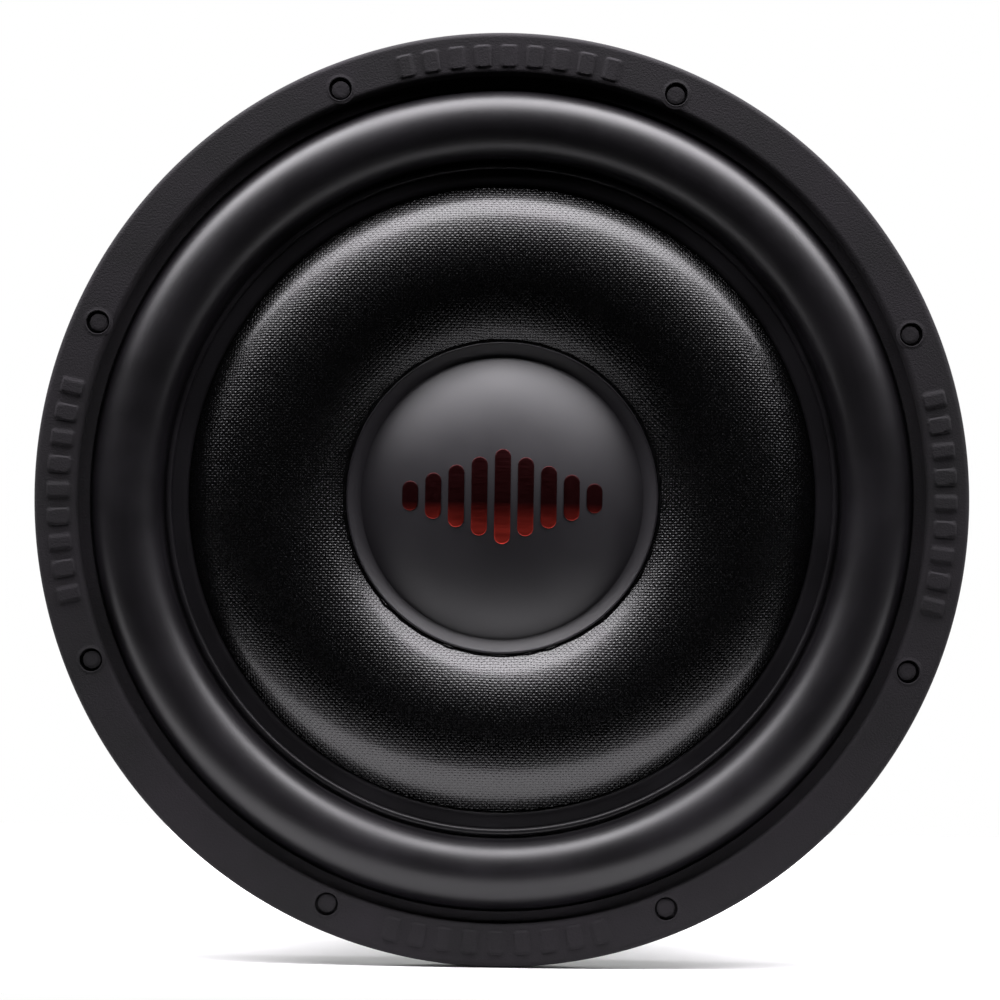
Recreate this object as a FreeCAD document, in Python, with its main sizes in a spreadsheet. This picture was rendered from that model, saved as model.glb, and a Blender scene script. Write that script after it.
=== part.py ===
"""Twelve-inch car subwoofer driver with a moulded rubber trim ring, as a parametric document.

Every piece is drawn about the driver's own axis, with z = 0 at the rear face of the mounting
flange and +z towards the listener. FORWARD then turns each finished piece so that the cone
faces -Y and the terminals lie to the left and right, with +Z up. Millimetres throughout.
"""
import FreeCAD
import Part
import math
import os
import Sketcher
from FreeCAD import Placement, Rotation, Vector

FORWARD = Placement(Vector(0, 0, 0), Rotation(Vector(1, 0, 0), 90))

SIZES = {
    # Mounting flange
    "flange_land": 16.0,
    "flange_thick": 5.0,
    "bolt_inset": 7.0,
    "bolt_hole": 2.75,
    "bolt_count": 8,
    # Basket behind the flange
    "rim_depth": 13.0,
    "rim_step": 1.5,
    "basket_wall": 4.0,
    "ledge_rise": 24.0,
    "ledge_wide": 2.0,
    "ledge_step": 1.0,
    "seat_depth": 82.0,
    "seat_step": 2.1,
    "chamber_step": 5.0,
    "chamber_wall": 6.0,
    "arm_count": 6,
    "window_angle": 40.0,
    "window_foot": 10.0,
    "window_head": 4.0,
    "arm_slot_angle": 6.0,
    "arm_slot_foot": 8.0,
    "arm_slot_head": 5.0,
    "rib_thick": 3.0,
    "rib_proud": 5.0,
    "rib_root": 8.0,
    "rib_foot": 2.0,
    "sink": 1.0,
    "rib_spread": 13.5,
    "vent_width": 24.0,
    "vent_tall": 7.0,
    # Rubber trim ring
    "trim_wall": 2.0,
    "trim_front": 12.6,
    "trim_band": 14.4,
    "trim_round": 1.8,
    "trim_inner_round": 1.8,
    "trim_skirt_gap": 0.1,
    "trim_skirt_end": 0.6,
    "lip_reach": 4.0,
    "lip_thick": 2.2,
    "recess_radius": 3.9,
    "recess_deep": 1.8,
    "recess_draft": 22.0,
    "block_inset": 4.2,
    "block_long": 8.0,
    "block_width": 5.6,
    "block_proud": 0.6,
    "block_corner": 1.2,
    "block_count": 9,
    "block_arc": 27.0,
    # Surround
    "rubber_thick": 1.4,
    "roll_seat": 2.5,
    "roll_width": 21.9,
    "roll_clear": 2.6,
    "roll_rise": 10.1,
    "surround_inset": 0.6,
    "bead_inset": 6.8,
    "bead_size": 1.3,
    "arc_slack": 0.001,
    "edge_run": 0.6,
    "edge_thick": 0.5,
    # Cone
    "paper_thick": 1.2,
    "crest_run": 27.0,
    "crest_height": 16.1,
    "crown_run": 26.4,
    "cone_slope": 36.0,
    "cone_foot": 7.6,
    "neck_end": 17.0,
    # Dust cap and its insert
    "cap_reach": 14.4,
    "cap_flange": 5.0,
    "dome_rise": 15.5,
    "cap_thick": 1.0,
    "glue_line": 0.15,
    "bar_count": 9,
    "bar_pitch": 7.8,
    "bar_width": 5.4,
    "bar_tallest": 32.0,
    "bar_shortest": 10.0,
    "foil_proud": 0.3,
    # Voice coil
    "former_bore": 38.1,
    "former_wall": 0.5,
    "former_front": 6.0,
    "former_tail": 2.0,
    "coil_lead": 11.0,
    "coil_tall": 30.0,
    "layer_thick": 1.1,
    "collar_thick": 0.8,
    "collar_front": 17.4,
    "collar_tail": 4.0,
    # Spiders
    "cloth_thick": 0.6,
    "wave_count": 4,
    "wave_rise": 1.6,
    "spider_width": 32.6,
    "spider_foot": 14.0,
    "spacer_step": 2.0,
    "spider_neck": 3.0,
    "spider_gap": 11.0,
    # Motor
    "coil_gap": 1.1,
    "plate_edge": 12.0,
    "plate_thick": 8.0,
    "magnet_step": 10.1,
    "magnet_proud": 6.0,
    "magnet_thick": 20.0,
    "back_thick": 12.0,
    "pole_gap": 1.5,
    "edge_break": 2.0,
    "pole_proud": 2.0,
    "vent_bore": 15.0,
    "vent_flare": 8.0,
    "screen_radius": 21.0,
    "screen_ledge": 2.0,
    "screen_depth": 1.5,
    "screen_thick": 0.8,
    "screen_hole": 1.25,
    "screen_pitch": 4.2,
    "short_ring_step": 2.0,
    "short_ring_tall": 6.0,
    "ring_gap": 0.1,
    "boot_gap": 0.3,
    "boot_wall": 3.6,
    "boot_lip": 3.0,
    "boot_round": 2.0,
    "boot_back": 4.0,
    # Fasteners of the motor
    "seat_bolt_inset": 18.1,
    "seat_bolt": 2.5,
    "seat_bolt_gap": 0.25,
    "seat_bolt_head": 4.6,
    "seat_bolt_head_tall": 2.8,
    # Push terminals
    "lug_long": 10.0,
    "lug_edge": 3.5,
    "lug_inset": 2.0,
    "lug_tall": 12.0,
    "box_deep": 20.0,
    "box_half": 19.0,
    "box_drop": 2.0,
    "box_tall": 20.0,
    "ear_thick": 3.0,
    "screw_inset": 3.5,
    "screw_radius": 1.5,
    "screw_gap": 0.1,
    "screw_head": 2.8,
    "screw_head_tall": 1.8,
    "screw_long": 9.0,
    "button_place": 10.0,
    "button_inset": 6.0,
    "button_wide": 8.4,
    "button_tall": 6.4,
    "button_proud": 5.0,
    "button_gap": 0.3,
    "button_foot": 1.5,
    "button_foot_step": 0.7,
    "front_wall": 2.0,
    "back_wall": 4.0,
    "spring_radius": 2.5,
    "spring_wire": 0.6,
    "spring_turns": 5,
    "spring_gap": 0.1,
    "wire_hole": 1.6,
    "wire_inset": 5.0,
    "strip_thick": 0.8,
    "strip_wide": 2.4,
    "strip_place": 1.4,
    "strip_set": 8.0,
    "strip_foot": 11.6,
    "strip_foot_tall": 6.0,
    "strip_inset": 2.0,
    "strip_rise": 22.0,
    "lead_radius": 1.0,
    "lead_gap": 0.65,
    "lead_drop": 2.0,
    "lead_meet": 12.0,
}

os.makedirs("parts", exist_ok=True)
doc = FreeCAD.newDocument("subwoofer_driver")
dim = doc.addObject("Spreadsheet::Sheet", "dim")
for row, (alias, value) in enumerate(SIZES.items(), start=1):
    dim.set(f"A{row}", alias)
    dim.set(f"B{row}", str(value))
    dim.setAlias(f"B{row}", alias)
doc.recompute()

# Levels and radii that follow from the sheet, written once as expressions.
GROUND = "dim.flange_thick"
FOOT_TOP = "dim.flange_thick + dim.rubber_thick"
PLATE_REAR = "dim.seat_depth + dim.plate_thick"
MAGNET_REAR = f"{PLATE_REAR} + 2 * dim.magnet_thick"
BACK_FACE = f"{MAGNET_REAR} + dim.back_thick"
LEDGE_DEPTH = "(dim.seat_depth - dim.ledge_rise)"
SPIDER_REAR_Z = f"dim.cloth_thick - {LEDGE_DEPTH}"
SPIDER_FRONT_Z = f"{SPIDER_REAR_Z} + dim.spider_gap"
COLLAR_REAR = f"({LEDGE_DEPTH} + dim.collar_tail)"
COIL_FRONT = "(dim.seat_depth - dim.coil_lead)"
COIL_REAR = f"({COIL_FRONT} + dim.coil_tall)"
FORMER_REAR = f"({COIL_REAR} + dim.former_tail)"

# Radii from the voice coil outwards: coil, motor and spiders.
FORMER_RADIUS = "(dim.former_bore + dim.former_wall)"
COLLAR_RADIUS = f"({FORMER_RADIUS} + dim.collar_thick)"
PLATE_BORE = f"({FORMER_RADIUS} + 2 * dim.layer_thick + dim.coil_gap)"
POLE_RADIUS = "(dim.former_bore - dim.pole_gap)"
SEAT_BORE = f"({PLATE_BORE} + dim.seat_step)"
SEAT_BOLT_CIRCLE = f"({PLATE_BORE} + dim.seat_bolt_inset)"
PLATE_RADIUS = f"({SEAT_BOLT_CIRCLE} + dim.plate_edge)"
MAGNET_BORE = f"({PLATE_BORE} + dim.magnet_step)"
MAGNET_RADIUS = f"({PLATE_RADIUS} + dim.magnet_proud)"
SHORT_RING_RADIUS = f"({MAGNET_BORE} - dim.short_ring_step)"
SPIDER_ROLL = f"({COLLAR_RADIUS} + dim.spider_width)"
SPIDER_RIM = f"({SPIDER_ROLL} + dim.spider_foot)"
LEDGE_BORE = f"({SPIDER_ROLL} + dim.ledge_step)"
LEDGE_RADIUS = f"({SPIDER_RIM} + dim.ledge_wide)"
CHAMBER_RADIUS = f"({LEDGE_RADIUS} - dim.chamber_step)"

# Radii from the voice coil outwards: cap, cone, surround, basket and trim ring.
CAP_RADIUS = f"({FORMER_RADIUS} + dim.cap_reach)"
DOME_RADIUS = f"({CAP_RADIUS} - dim.cap_flange)"
CREST_RADIUS = f"({CAP_RADIUS} + dim.crest_run)"
CONE_EDGE = f"({CREST_RADIUS} + dim.crown_run)"
CONE_RIM = f"({CONE_EDGE} + dim.cone_foot)"
BEAD_RADIUS = f"({CONE_EDGE} + dim.bead_inset)"
ROLL_INNER = f"({CONE_RIM} + dim.roll_clear)"
ROLL_OUTER = f"({ROLL_INNER} + dim.roll_width)"
MOUTH_RADIUS = f"({ROLL_OUTER} - dim.roll_seat)"
RIM_RADIUS = f"({MOUTH_RADIUS} + dim.basket_wall)"
FLANGE_RADIUS = f"({RIM_RADIUS} + dim.flange_land)"
BOLT_CIRCLE = f"({FLANGE_RADIUS} - dim.bolt_inset)"
TRIM_RADIUS = f"({FLANGE_RADIUS} + dim.trim_wall)"
TRIM_BORE = f"({TRIM_RADIUS} - dim.trim_band)"
LIP_RADIUS = f"({TRIM_BORE} - dim.lip_reach)"
SURROUND_RIM = f"({TRIM_BORE} - dim.surround_inset)"
BLOCK_OUTER = f"({TRIM_RADIUS} - dim.block_inset)"
BLOCK_INNER = f"({BLOCK_OUTER} - dim.block_long)"
WINDOW_INNER = f"({LEDGE_RADIUS} + dim.window_foot)"
WINDOW_OUTER = f"({MOUTH_RADIUS} - dim.window_head)"
ARM_SLOT_INNER = f"({WINDOW_INNER} + dim.arm_slot_foot)"
ARM_SLOT_OUTER = f"({WINDOW_OUTER} - dim.arm_slot_head)"

# The cone's crown and the straight slope inside it.
CROWN_RISE = f"(dim.crest_height - {GROUND})"
CROWN_RADIUS = f"((dim.crown_run ^ 2 + {CROWN_RISE} ^ 2) / (2 * {CROWN_RISE}))"
CROWN_CENTRE = f"(dim.crest_height - {CROWN_RADIUS})"
SLOPE_TOP_R = f"({CREST_RADIUS} - {CROWN_RADIUS} * sin(dim.cone_slope * 1 deg))"
SLOPE_TOP_Z = f"({CROWN_CENTRE} + {CROWN_RADIUS} * cos(dim.cone_slope * 1 deg))"

# Places of the lugs and terminals, measured back from the flange and out from the axis.
SCREW_PLACE = "(dim.box_half + dim.screw_inset)"
LUG_HALF = f"({SCREW_PLACE} + dim.lug_edge)"
LUG_REAR = "(dim.seat_depth - dim.lug_inset)"
LUG_FRONT = f"({LUG_REAR} - dim.lug_tall)"
LUG_REACH = f"({CHAMBER_RADIUS} + dim.lug_long)"
BOX_REAR = "(dim.seat_depth + dim.box_drop)"
BOX_FRONT = f"({BOX_REAR} - dim.box_tall)"
BOX_FACE = f"({LUG_REACH} + dim.box_deep)"
BUTTON_DEPTH = f"({BOX_FRONT} + dim.button_inset)"
WIRE_DEPTH = f"({BOX_REAR} - dim.wire_inset)"
STRIP_FOOT_REAR = f"({BOX_REAR} - dim.strip_inset)"
STRIP_FOOT_FRONT = f"({STRIP_FOOT_REAR} - dim.strip_foot_tall)"
STRIP_TIP = f"({BOX_FRONT} - dim.strip_rise)"


def number(expression):
    """The value of an expression over the sheet, as a plain float."""
    return float(dim.evalExpression(str(expression)))


def slope_height(radius):
    """Expression for the height of the cone's straight inner slope at a radius."""
    return f"{SLOPE_TOP_Z} - ({SLOPE_TOP_R} - ({radius})) * tan(dim.cone_slope * 1 deg)"


def pin(sketch, edge, end, across, up):
    """Fix one end of an edge to two expressions, measured from the sketch's origin."""
    for kind, axis, text in (("DistanceX", -2, across), ("DistanceY", -1, up)):
        if text == "0":
            sketch.addConstraint(Sketcher.Constraint("PointOnObject", edge, end, axis))
            continue
        index = sketch.addConstraint(
            Sketcher.Constraint(kind, -1, 1, edge, end, number(text))
        )
        sketch.setExpression(f"Constraints[{index}]", text)


def arc_between(start, end, radius, turn):
    """An arc of a radius from start to end, counter-clockwise if turn is +1, else clockwise."""
    chord = end - start
    middle = (start + end) * 0.5
    left = Vector(-chord.y, chord.x, 0).normalize()
    rise = math.sqrt(max(radius**2 - (chord.Length / 2) ** 2, 0.0))
    centre = middle + left * (rise * turn)
    first, last = (start, end) if turn > 0 else (end, start)
    angles = [math.atan2(p.y - centre.y, p.x - centre.x) for p in (first, last)]
    circle = Part.Circle(centre, Vector(0, 0, 1), radius)
    return Part.ArcOfCircle(circle, *angles)


def draw(sketch, corners, arcs=None, closed=True):
    """Draw an outline whose corners are pairs of expressions.

    arcs maps an edge's number to (radius expression, turn); the other edges are straight.
    """
    arcs = arcs or {}
    points = [Vector(number(x), number(y), 0) for x, y in corners]
    count = len(points) if closed else len(points) - 1
    starts = []
    for edge in range(count):
        here, there = points[edge], points[(edge + 1) % len(points)]
        if edge in arcs:
            radius, turn = arcs[edge]
            sketch.addGeometry(arc_between(here, there, number(radius), turn))
            starts.append((1, 2) if turn > 0 else (2, 1))
        else:
            sketch.addGeometry(Part.LineSegment(here, there))
            starts.append((1, 2))
    for edge in range(count if closed else count - 1):
        after = (edge + 1) % count
        sketch.addConstraint(
            Sketcher.Constraint("Coincident", edge, starts[edge][1], after, starts[after][0])
        )
    for edge in range(count):
        pin(sketch, edge, starts[edge][0], *corners[edge])
    if not closed:
        pin(sketch, count - 1, starts[count - 1][1], *corners[-1])
    for edge, (radius, _) in arcs.items():
        index = sketch.addConstraint(Sketcher.Constraint("Radius", edge, number(radius)))
        sketch.setExpression(f"Constraints[{index}]", radius)


def flat_sketch(body, name, role="XY_Plane", height=None, turn=None):
    """A sketch on one of a body's planes, lifted to a height and turned by degrees."""
    sketch = body.newObject("Sketcher::SketchObject", name)
    plane = next(f for f in body.Origin.OriginFeatures if f.Role == role)
    sketch.AttachmentSupport = (plane, [""])
    sketch.MapMode = "FlatFace"
    if turn is not None:
        axis = Vector(0, 0, 1) if role == "XY_Plane" else Vector(0, 1, 0)
        sketch.AttachmentOffset = Placement(Vector(0, 0, 0), Rotation(axis, number(turn)))
        sketch.setExpression("AttachmentOffset.Rotation.Angle", f"({turn}) * 1 deg")
    if height is not None:
        sketch.setExpression("AttachmentOffset.Base.z", height)
    return sketch


def new_body(label):
    """A body whose label is the name of its node."""
    body = doc.addObject("PartDesign::Body", label)
    body.Label = label
    return body


def turned(label, corners, arcs=None):
    """A body turned about the driver's axis from an outline of (radius, height) corners."""
    body = new_body(label)
    sketch = flat_sketch(body, f"{label}_outline", "XZ_Plane")
    draw(sketch, corners, arcs)
    revolution = body.newObject("PartDesign::Revolution", f"{label}_turned")
    revolution.Profile = sketch
    revolution.ReferenceAxis = (sketch, ["V_Axis"])
    revolution.Angle = 360
    doc.recompute()
    return body


def ring(label, inner, outer, rear, front):
    """A plain turned ring between two radii and two heights."""
    return turned(label, [(inner, rear), (outer, rear), (outer, front), (inner, front)])


def turned_shell(label, path, thickness, arcs=None):
    """A thin shell turned from an open line, thickened to one side."""
    sketch = doc.addObject("Sketcher::SketchObject", f"{label}_line")
    draw(sketch, path, arcs, closed=False)
    sketch.Placement = FORWARD
    doc.recompute()
    band = doc.addObject("Part::Offset2D", f"{label}_band")
    band.Source = sketch
    band.setExpression("Value", thickness)
    band.Fill = True
    band.Mode = "Skin"
    band.Join = "Intersection"
    shell = doc.addObject("Part::Revolution", label)
    shell.Source = band
    shell.Axis = Vector(0, 0, 1)
    shell.Angle = 360
    shell.Solid = True
    shell.Label = label
    doc.recompute()
    return shell


def box(name, corner, size):
    """A block bound to expressions for its lowest corner and its three sides."""
    block = doc.addObject("Part::Box", name)
    for side, text in zip(("Length", "Width", "Height"), size):
        block.setExpression(side, text)
    for axis, text in zip("xyz", corner):
        block.setExpression(f"Placement.Base.{axis}", text)
    return block


def rod(name, radius, length, base, direction):
    """A cylinder that starts at base and runs along direction."""
    cylinder = doc.addObject("Part::Cylinder", name)
    cylinder.setExpression("Radius", radius)
    cylinder.setExpression("Height", length)
    cylinder.Placement = Placement(Vector(0, 0, 0), Rotation(Vector(0, 0, 1), direction))
    for axis, text in zip("xyz", base):
        cylinder.setExpression(f"Placement.Base.{axis}", text)
    return cylinder


def joined(name, shapes):
    """One object that fuses several shapes, or holds them apart where they don't meet."""
    group = doc.addObject("Part::MultiFuse", name)
    group.Shapes = shapes
    return group


def cut(name, base, tools):
    """base less every tool."""
    result = doc.addObject("Part::Cut", name)
    result.Base = base
    result.Tool = tools[0] if len(tools) == 1 else joined(f"{name}_tools", tools)
    return result


def pocket_through(body, sketch, name):
    """A pocket through the whole body, to both sides of its sketch."""
    pocket = body.newObject("PartDesign::Pocket", name)
    pocket.Profile = sketch
    pocket.Type = "ThroughAll"
    pocket.SideType = "Symmetric"
    return pocket


def polar(body, features, sketch, count, name, arc="360"):
    """Repeat features about the driver's axis."""
    pattern = body.newObject("PartDesign::PolarPattern", name)
    pattern.Originals = features
    pattern.Axis = (sketch, ["N_Axis"])
    pattern.setExpression("Angle", arc)
    pattern.setExpression("Occurrences", count)
    body.Tip = pattern
    doc.recompute()
    return pattern


def sector(sketch, inner, outer, angle):
    """Draw a ring sector about the sketch's X axis, angle being an expression in degrees."""
    half = f"({angle}) / 2 * 1 deg"
    corners = [
        (f"({inner}) * cos({half})", f"-({inner}) * sin({half})"),
        (f"({outer}) * cos({half})", f"-({outer}) * sin({half})"),
        (f"({outer}) * cos({half})", f"({outer}) * sin({half})"),
        (f"({inner}) * cos({half})", f"({inner}) * sin({half})"),
    ]
    draw(sketch, corners, {1: (outer, 1), 3: (inner, -1)})


def holes(sketch, radius, centre):
    """Draw one hole on the sketch's X axis."""
    circle = Part.Circle(Vector(number(centre), 0, 0), Vector(0, 0, 1), number(radius))
    edge = sketch.addGeometry(circle)
    pin(sketch, edge, 3, centre, "0")
    index = sketch.addConstraint(Sketcher.Constraint("Radius", edge, number(radius)))
    sketch.setExpression(f"Constraints[{index}]", radius)


def make_basket():
    """Cast basket: flange, tapered wall with six windows, spider ledge and motor seat."""
    corners = [
        (MOUTH_RADIUS, "dim.flange_thick"),
        (MOUTH_RADIUS, "dim.rim_step - dim.rim_depth"),
        (LEDGE_RADIUS, f"-{LEDGE_DEPTH}"),
        (LEDGE_BORE, f"-{LEDGE_DEPTH}"),
        (LEDGE_BORE, f"-{LEDGE_DEPTH} - dim.basket_wall"),
        (f"{CHAMBER_RADIUS} - dim.chamber_wall", f"-{LEDGE_DEPTH} - dim.basket_wall"),
        (f"{CHAMBER_RADIUS} - dim.chamber_wall", "dim.basket_wall - dim.seat_depth"),
        (SEAT_BORE, "dim.basket_wall - dim.seat_depth"),
        (SEAT_BORE, "-dim.seat_depth"),
        (CHAMBER_RADIUS, "-dim.seat_depth"),
        (CHAMBER_RADIUS, "dim.basket_wall - dim.seat_depth"),
        (LEDGE_RADIUS, f"-{LEDGE_DEPTH} - 2 * dim.basket_wall"),
        (RIM_RADIUS, "-dim.rim_depth"),
        (RIM_RADIUS, "0"),
        (FLANGE_RADIUS, "0"),
        (FLANGE_RADIUS, "dim.flange_thick"),
    ]
    body = turned("basket", corners)

    rib_outline = [
        (f"{RIM_RADIUS} - dim.sink", "-dim.rim_depth"),
        (f"{LEDGE_RADIUS} + dim.rib_foot", f"-{LEDGE_DEPTH} - dim.basket_wall"),
        (f"{LEDGE_RADIUS} + dim.rib_foot / 2",
         f"-{LEDGE_DEPTH} - dim.basket_wall - dim.rib_proud"),
        (f"{RIM_RADIUS} - dim.sink", "-dim.rim_depth - dim.rib_root"),
    ]
    ribs = []
    for name, side in (("rib_left", "-1"), ("rib_right", "1")):
        turn = f"180 / dim.arm_count + {side} * dim.rib_spread / 2"
        sketch = flat_sketch(body, f"{name}_outline", "XZ_Plane", turn=turn)
        draw(sketch, rib_outline)
        rib = body.newObject("PartDesign::Pad", name)
        rib.Profile = sketch
        rib.setExpression("Length", "dim.rib_thick")
        rib.SideType = "Symmetric"
        ribs.append(rib)
        doc.recompute()

    lugs = []
    for name, turn in (("lug_right", "0"), ("lug_left", "180")):
        sketch = flat_sketch(body, f"{name}_outline", height=f"-{LUG_REAR}", turn=turn)
        start = f"{CHAMBER_RADIUS} - dim.basket_wall - dim.sink"
        draw(sketch, [
            (start, f"-{LUG_HALF}"),
            (LUG_REACH, f"-{LUG_HALF}"),
            (LUG_REACH, LUG_HALF),
            (start, LUG_HALF),
        ])
        lug = body.newObject("PartDesign::Pad", name)
        lug.Profile = sketch
        lug.setExpression("Length", f"{LUG_REAR} - {LUG_FRONT}")
        lugs.append(lug)
        doc.recompute()

    plan = flat_sketch(body, "axis_plan")
    holes(plan, "dim.seat_bolt + dim.seat_bolt_gap", SEAT_BOLT_CIRCLE)
    polar(body, ribs, plan, "dim.arm_count", "ribs")

    window = flat_sketch(body, "window_plan")
    sector(window, WINDOW_INNER, WINDOW_OUTER, "dim.window_angle")
    polar(body, [pocket_through(body, window, "window")], window, "dim.arm_count", "windows")

    slot = flat_sketch(body, "slot_plan", turn="180 / dim.arm_count")
    sector(slot, ARM_SLOT_INNER, ARM_SLOT_OUTER, "dim.arm_slot_angle")
    polar(body, [pocket_through(body, slot, "slot")], window, "dim.arm_count", "slots")

    seat = pocket_through(body, plan, "seat_hole")
    polar(body, [seat], plan, "dim.bolt_count", "seat_holes")

    bolt = flat_sketch(body, "bolt_plan", turn="180 / dim.bolt_count")
    holes(bolt, "dim.bolt_hole", BOLT_CIRCLE)
    polar(body, [pocket_through(body, bolt, "bolt")], bolt, "dim.bolt_count", "bolts")

    middle = f"-({LEDGE_DEPTH} + dim.basket_wall + dim.seat_depth - dim.basket_wall) / 2"
    vent = flat_sketch(body, "vent_outline", "YZ_Plane")
    half, tall = "dim.vent_width / 2", "dim.vent_tall / 2"
    draw(vent, [
        (f"-{half}", f"{middle} - {tall}"),
        (half, f"{middle} - {tall}"),
        (half, f"{middle} + {tall}"),
        (f"-{half}", f"{middle} + {tall}"),
    ])
    turn = "180 / dim.arm_count"
    vent.AttachmentOffset = Placement(Vector(0, 0, 0), Rotation(Vector(0, 1, 0), 30))
    vent.setExpression("AttachmentOffset.Rotation.Angle", f"({turn}) * 1 deg")
    doc.recompute()
    vent_cut = body.newObject("PartDesign::Pocket", "vent")
    vent_cut.Profile = vent
    vent_cut.Type = "ThroughAll"
    vent_cut.SideType = "One side"
    doc.recompute()
    polar(body, [vent_cut], window, "dim.arm_count", "vents")

    screws = flat_sketch(body, "lug_screw_plan", "YZ_Plane", height=LUG_REACH)
    for place in (f"-{SCREW_PLACE}", SCREW_PLACE):
        centre = Vector(number(place), number(f"-({LUG_FRONT} + {LUG_REAR}) / 2"), 0)
        radius = "dim.screw_radius + dim.screw_gap"
        edge = screws.addGeometry(Part.Circle(centre, Vector(0, 0, 1), number(radius)))
        pin(screws, edge, 3, place, f"-({LUG_FRONT} + {LUG_REAR}) / 2")
        index = screws.addConstraint(Sketcher.Constraint("Radius", edge, number(radius)))
        screws.setExpression(f"Constraints[{index}]", radius)
    lug_holes = body.newObject("PartDesign::Pocket", "lug_screws")
    lug_holes.Profile = screws
    lug_holes.setExpression("Length", "dim.screw_long - dim.ear_thick + dim.sink")
    doc.recompute()
    polar(body, [lug_holes], window, "2", "lug_screw_pairs")
    return body


def make_trim_ring():
    """Moulded rubber ring over the flange, with drafted screw wells and raised blocks."""
    corners = [
        (f"{FLANGE_RADIUS} + dim.trim_skirt_gap", "dim.trim_skirt_end"),
        (TRIM_RADIUS, "dim.trim_skirt_end"),
        (TRIM_RADIUS, "dim.trim_front - dim.trim_round"),
        (f"{TRIM_RADIUS} - dim.trim_round", "dim.trim_front"),
        (f"{TRIM_BORE} + dim.trim_inner_round", "dim.trim_front"),
        (TRIM_BORE, "dim.trim_front - dim.trim_inner_round"),
        (TRIM_BORE, f"{FOOT_TOP} + dim.lip_thick"),
        (LIP_RADIUS, f"{FOOT_TOP} + dim.lip_thick"),
        (LIP_RADIUS, FOOT_TOP),
        (f"{SURROUND_RIM} + dim.trim_skirt_gap", FOOT_TOP),
        (f"{SURROUND_RIM} + dim.trim_skirt_gap", GROUND),
        (f"{FLANGE_RADIUS} + dim.trim_skirt_gap", GROUND),
    ]
    arcs = {2: ("dim.trim_round", 1), 4: ("dim.trim_inner_round", 1)}
    body = turned("gasket_ring", corners, arcs)

    well = flat_sketch(body, "well_plan", height="dim.trim_front", turn="180 / dim.bolt_count")
    holes(well, "dim.recess_radius", BOLT_CIRCLE)
    pocket = body.newObject("PartDesign::Pocket", "well")
    pocket.Profile = well
    pocket.setExpression("Length", "dim.recess_deep")
    pocket.setExpression("TaperAngle", "-dim.recess_draft * 1 deg")
    doc.recompute()
    polar(body, [pocket], well, "dim.bolt_count", "wells")

    plan = flat_sketch(body, "block_plan", height="dim.trim_front", turn="-dim.block_arc / 2")
    wide, corner = "dim.block_width / 2", "dim.block_corner"
    inner, outer = BLOCK_INNER, BLOCK_OUTER
    draw(plan, [
        (f"{inner} + {corner}", f"-{wide}"),
        (f"{outer} - {corner}", f"-{wide}"),
        (outer, f"-{wide} + {corner}"),
        (outer, f"{wide} - {corner}"),
        (f"{outer} - {corner}", wide),
        (f"{inner} + {corner}", wide),
        (inner, f"{wide} - {corner}"),
        (inner, f"-{wide} + {corner}"),
    ], {edge: (corner, 1) for edge in (1, 3, 5, 7)})
    block = body.newObject("PartDesign::Pad", "block")
    block.Profile = plan
    block.setExpression("Length", "dim.block_proud")
    doc.recompute()
    row = body.newObject("PartDesign::MultiTransform", "blocks")
    row.Originals = [block]
    along = body.newObject("PartDesign::PolarPattern", "block_row")
    along.Axis = (plan, ["N_Axis"])
    along.setExpression("Angle", "dim.block_arc")
    along.setExpression("Occurrences", "dim.block_count")
    around = body.newObject("PartDesign::PolarPattern", "block_rows")
    around.Axis = (plan, ["N_Axis"])
    around.Angle = 360
    around.Occurrences = 4
    row.Transformations = [along, around]
    body.Tip = row
    doc.recompute()
    return body


def make_surround():
    """Half-roll rubber surround with its outer flange, inner flange and raised bead."""
    wide = f"({ROLL_OUTER} - {ROLL_INNER})"
    radius = f"({wide} ^ 2 / 4 + dim.roll_rise ^ 2) / (2 * dim.roll_rise)"
    under_wide = f"({wide} - 2 * dim.rubber_thick)"
    under = f"({under_wide} ^ 2 / 4 + dim.roll_rise ^ 2) / (2 * dim.roll_rise)"
    corners = [
        (SURROUND_RIM, GROUND),
        (SURROUND_RIM, FOOT_TOP),
        (ROLL_OUTER, FOOT_TOP),
        (ROLL_INNER, FOOT_TOP),
        (f"{BEAD_RADIUS} + dim.bead_size", FOOT_TOP),
        (f"{BEAD_RADIUS} - dim.bead_size", FOOT_TOP),
        (f"{CONE_EDGE} + dim.edge_run", FOOT_TOP),
        (CONE_EDGE, f"{GROUND} + dim.edge_thick"),
        (CONE_EDGE, GROUND),
        (f"{ROLL_INNER} + dim.rubber_thick", GROUND),
        (f"{ROLL_OUTER} - dim.rubber_thick", GROUND),
    ]
    arcs = {
        2: (radius, 1),
        4: ("dim.bead_size + dim.arc_slack", 1),
        9: (under, -1),
    }
    return turned("surround", corners, arcs)


def make_cone():
    """Convex woven-fibre cone: neck, straight inner slope, round crown and flat rim."""
    path = [
        (FORMER_RADIUS, "-dim.neck_end"),
        (FORMER_RADIUS, slope_height(FORMER_RADIUS)),
        (SLOPE_TOP_R, SLOPE_TOP_Z),
        (CONE_EDGE, GROUND),
        (CONE_RIM, GROUND),
    ]
    return turned_shell("cone", path, "-dim.paper_thick", {2: (CROWN_RADIUS, -1)})


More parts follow.
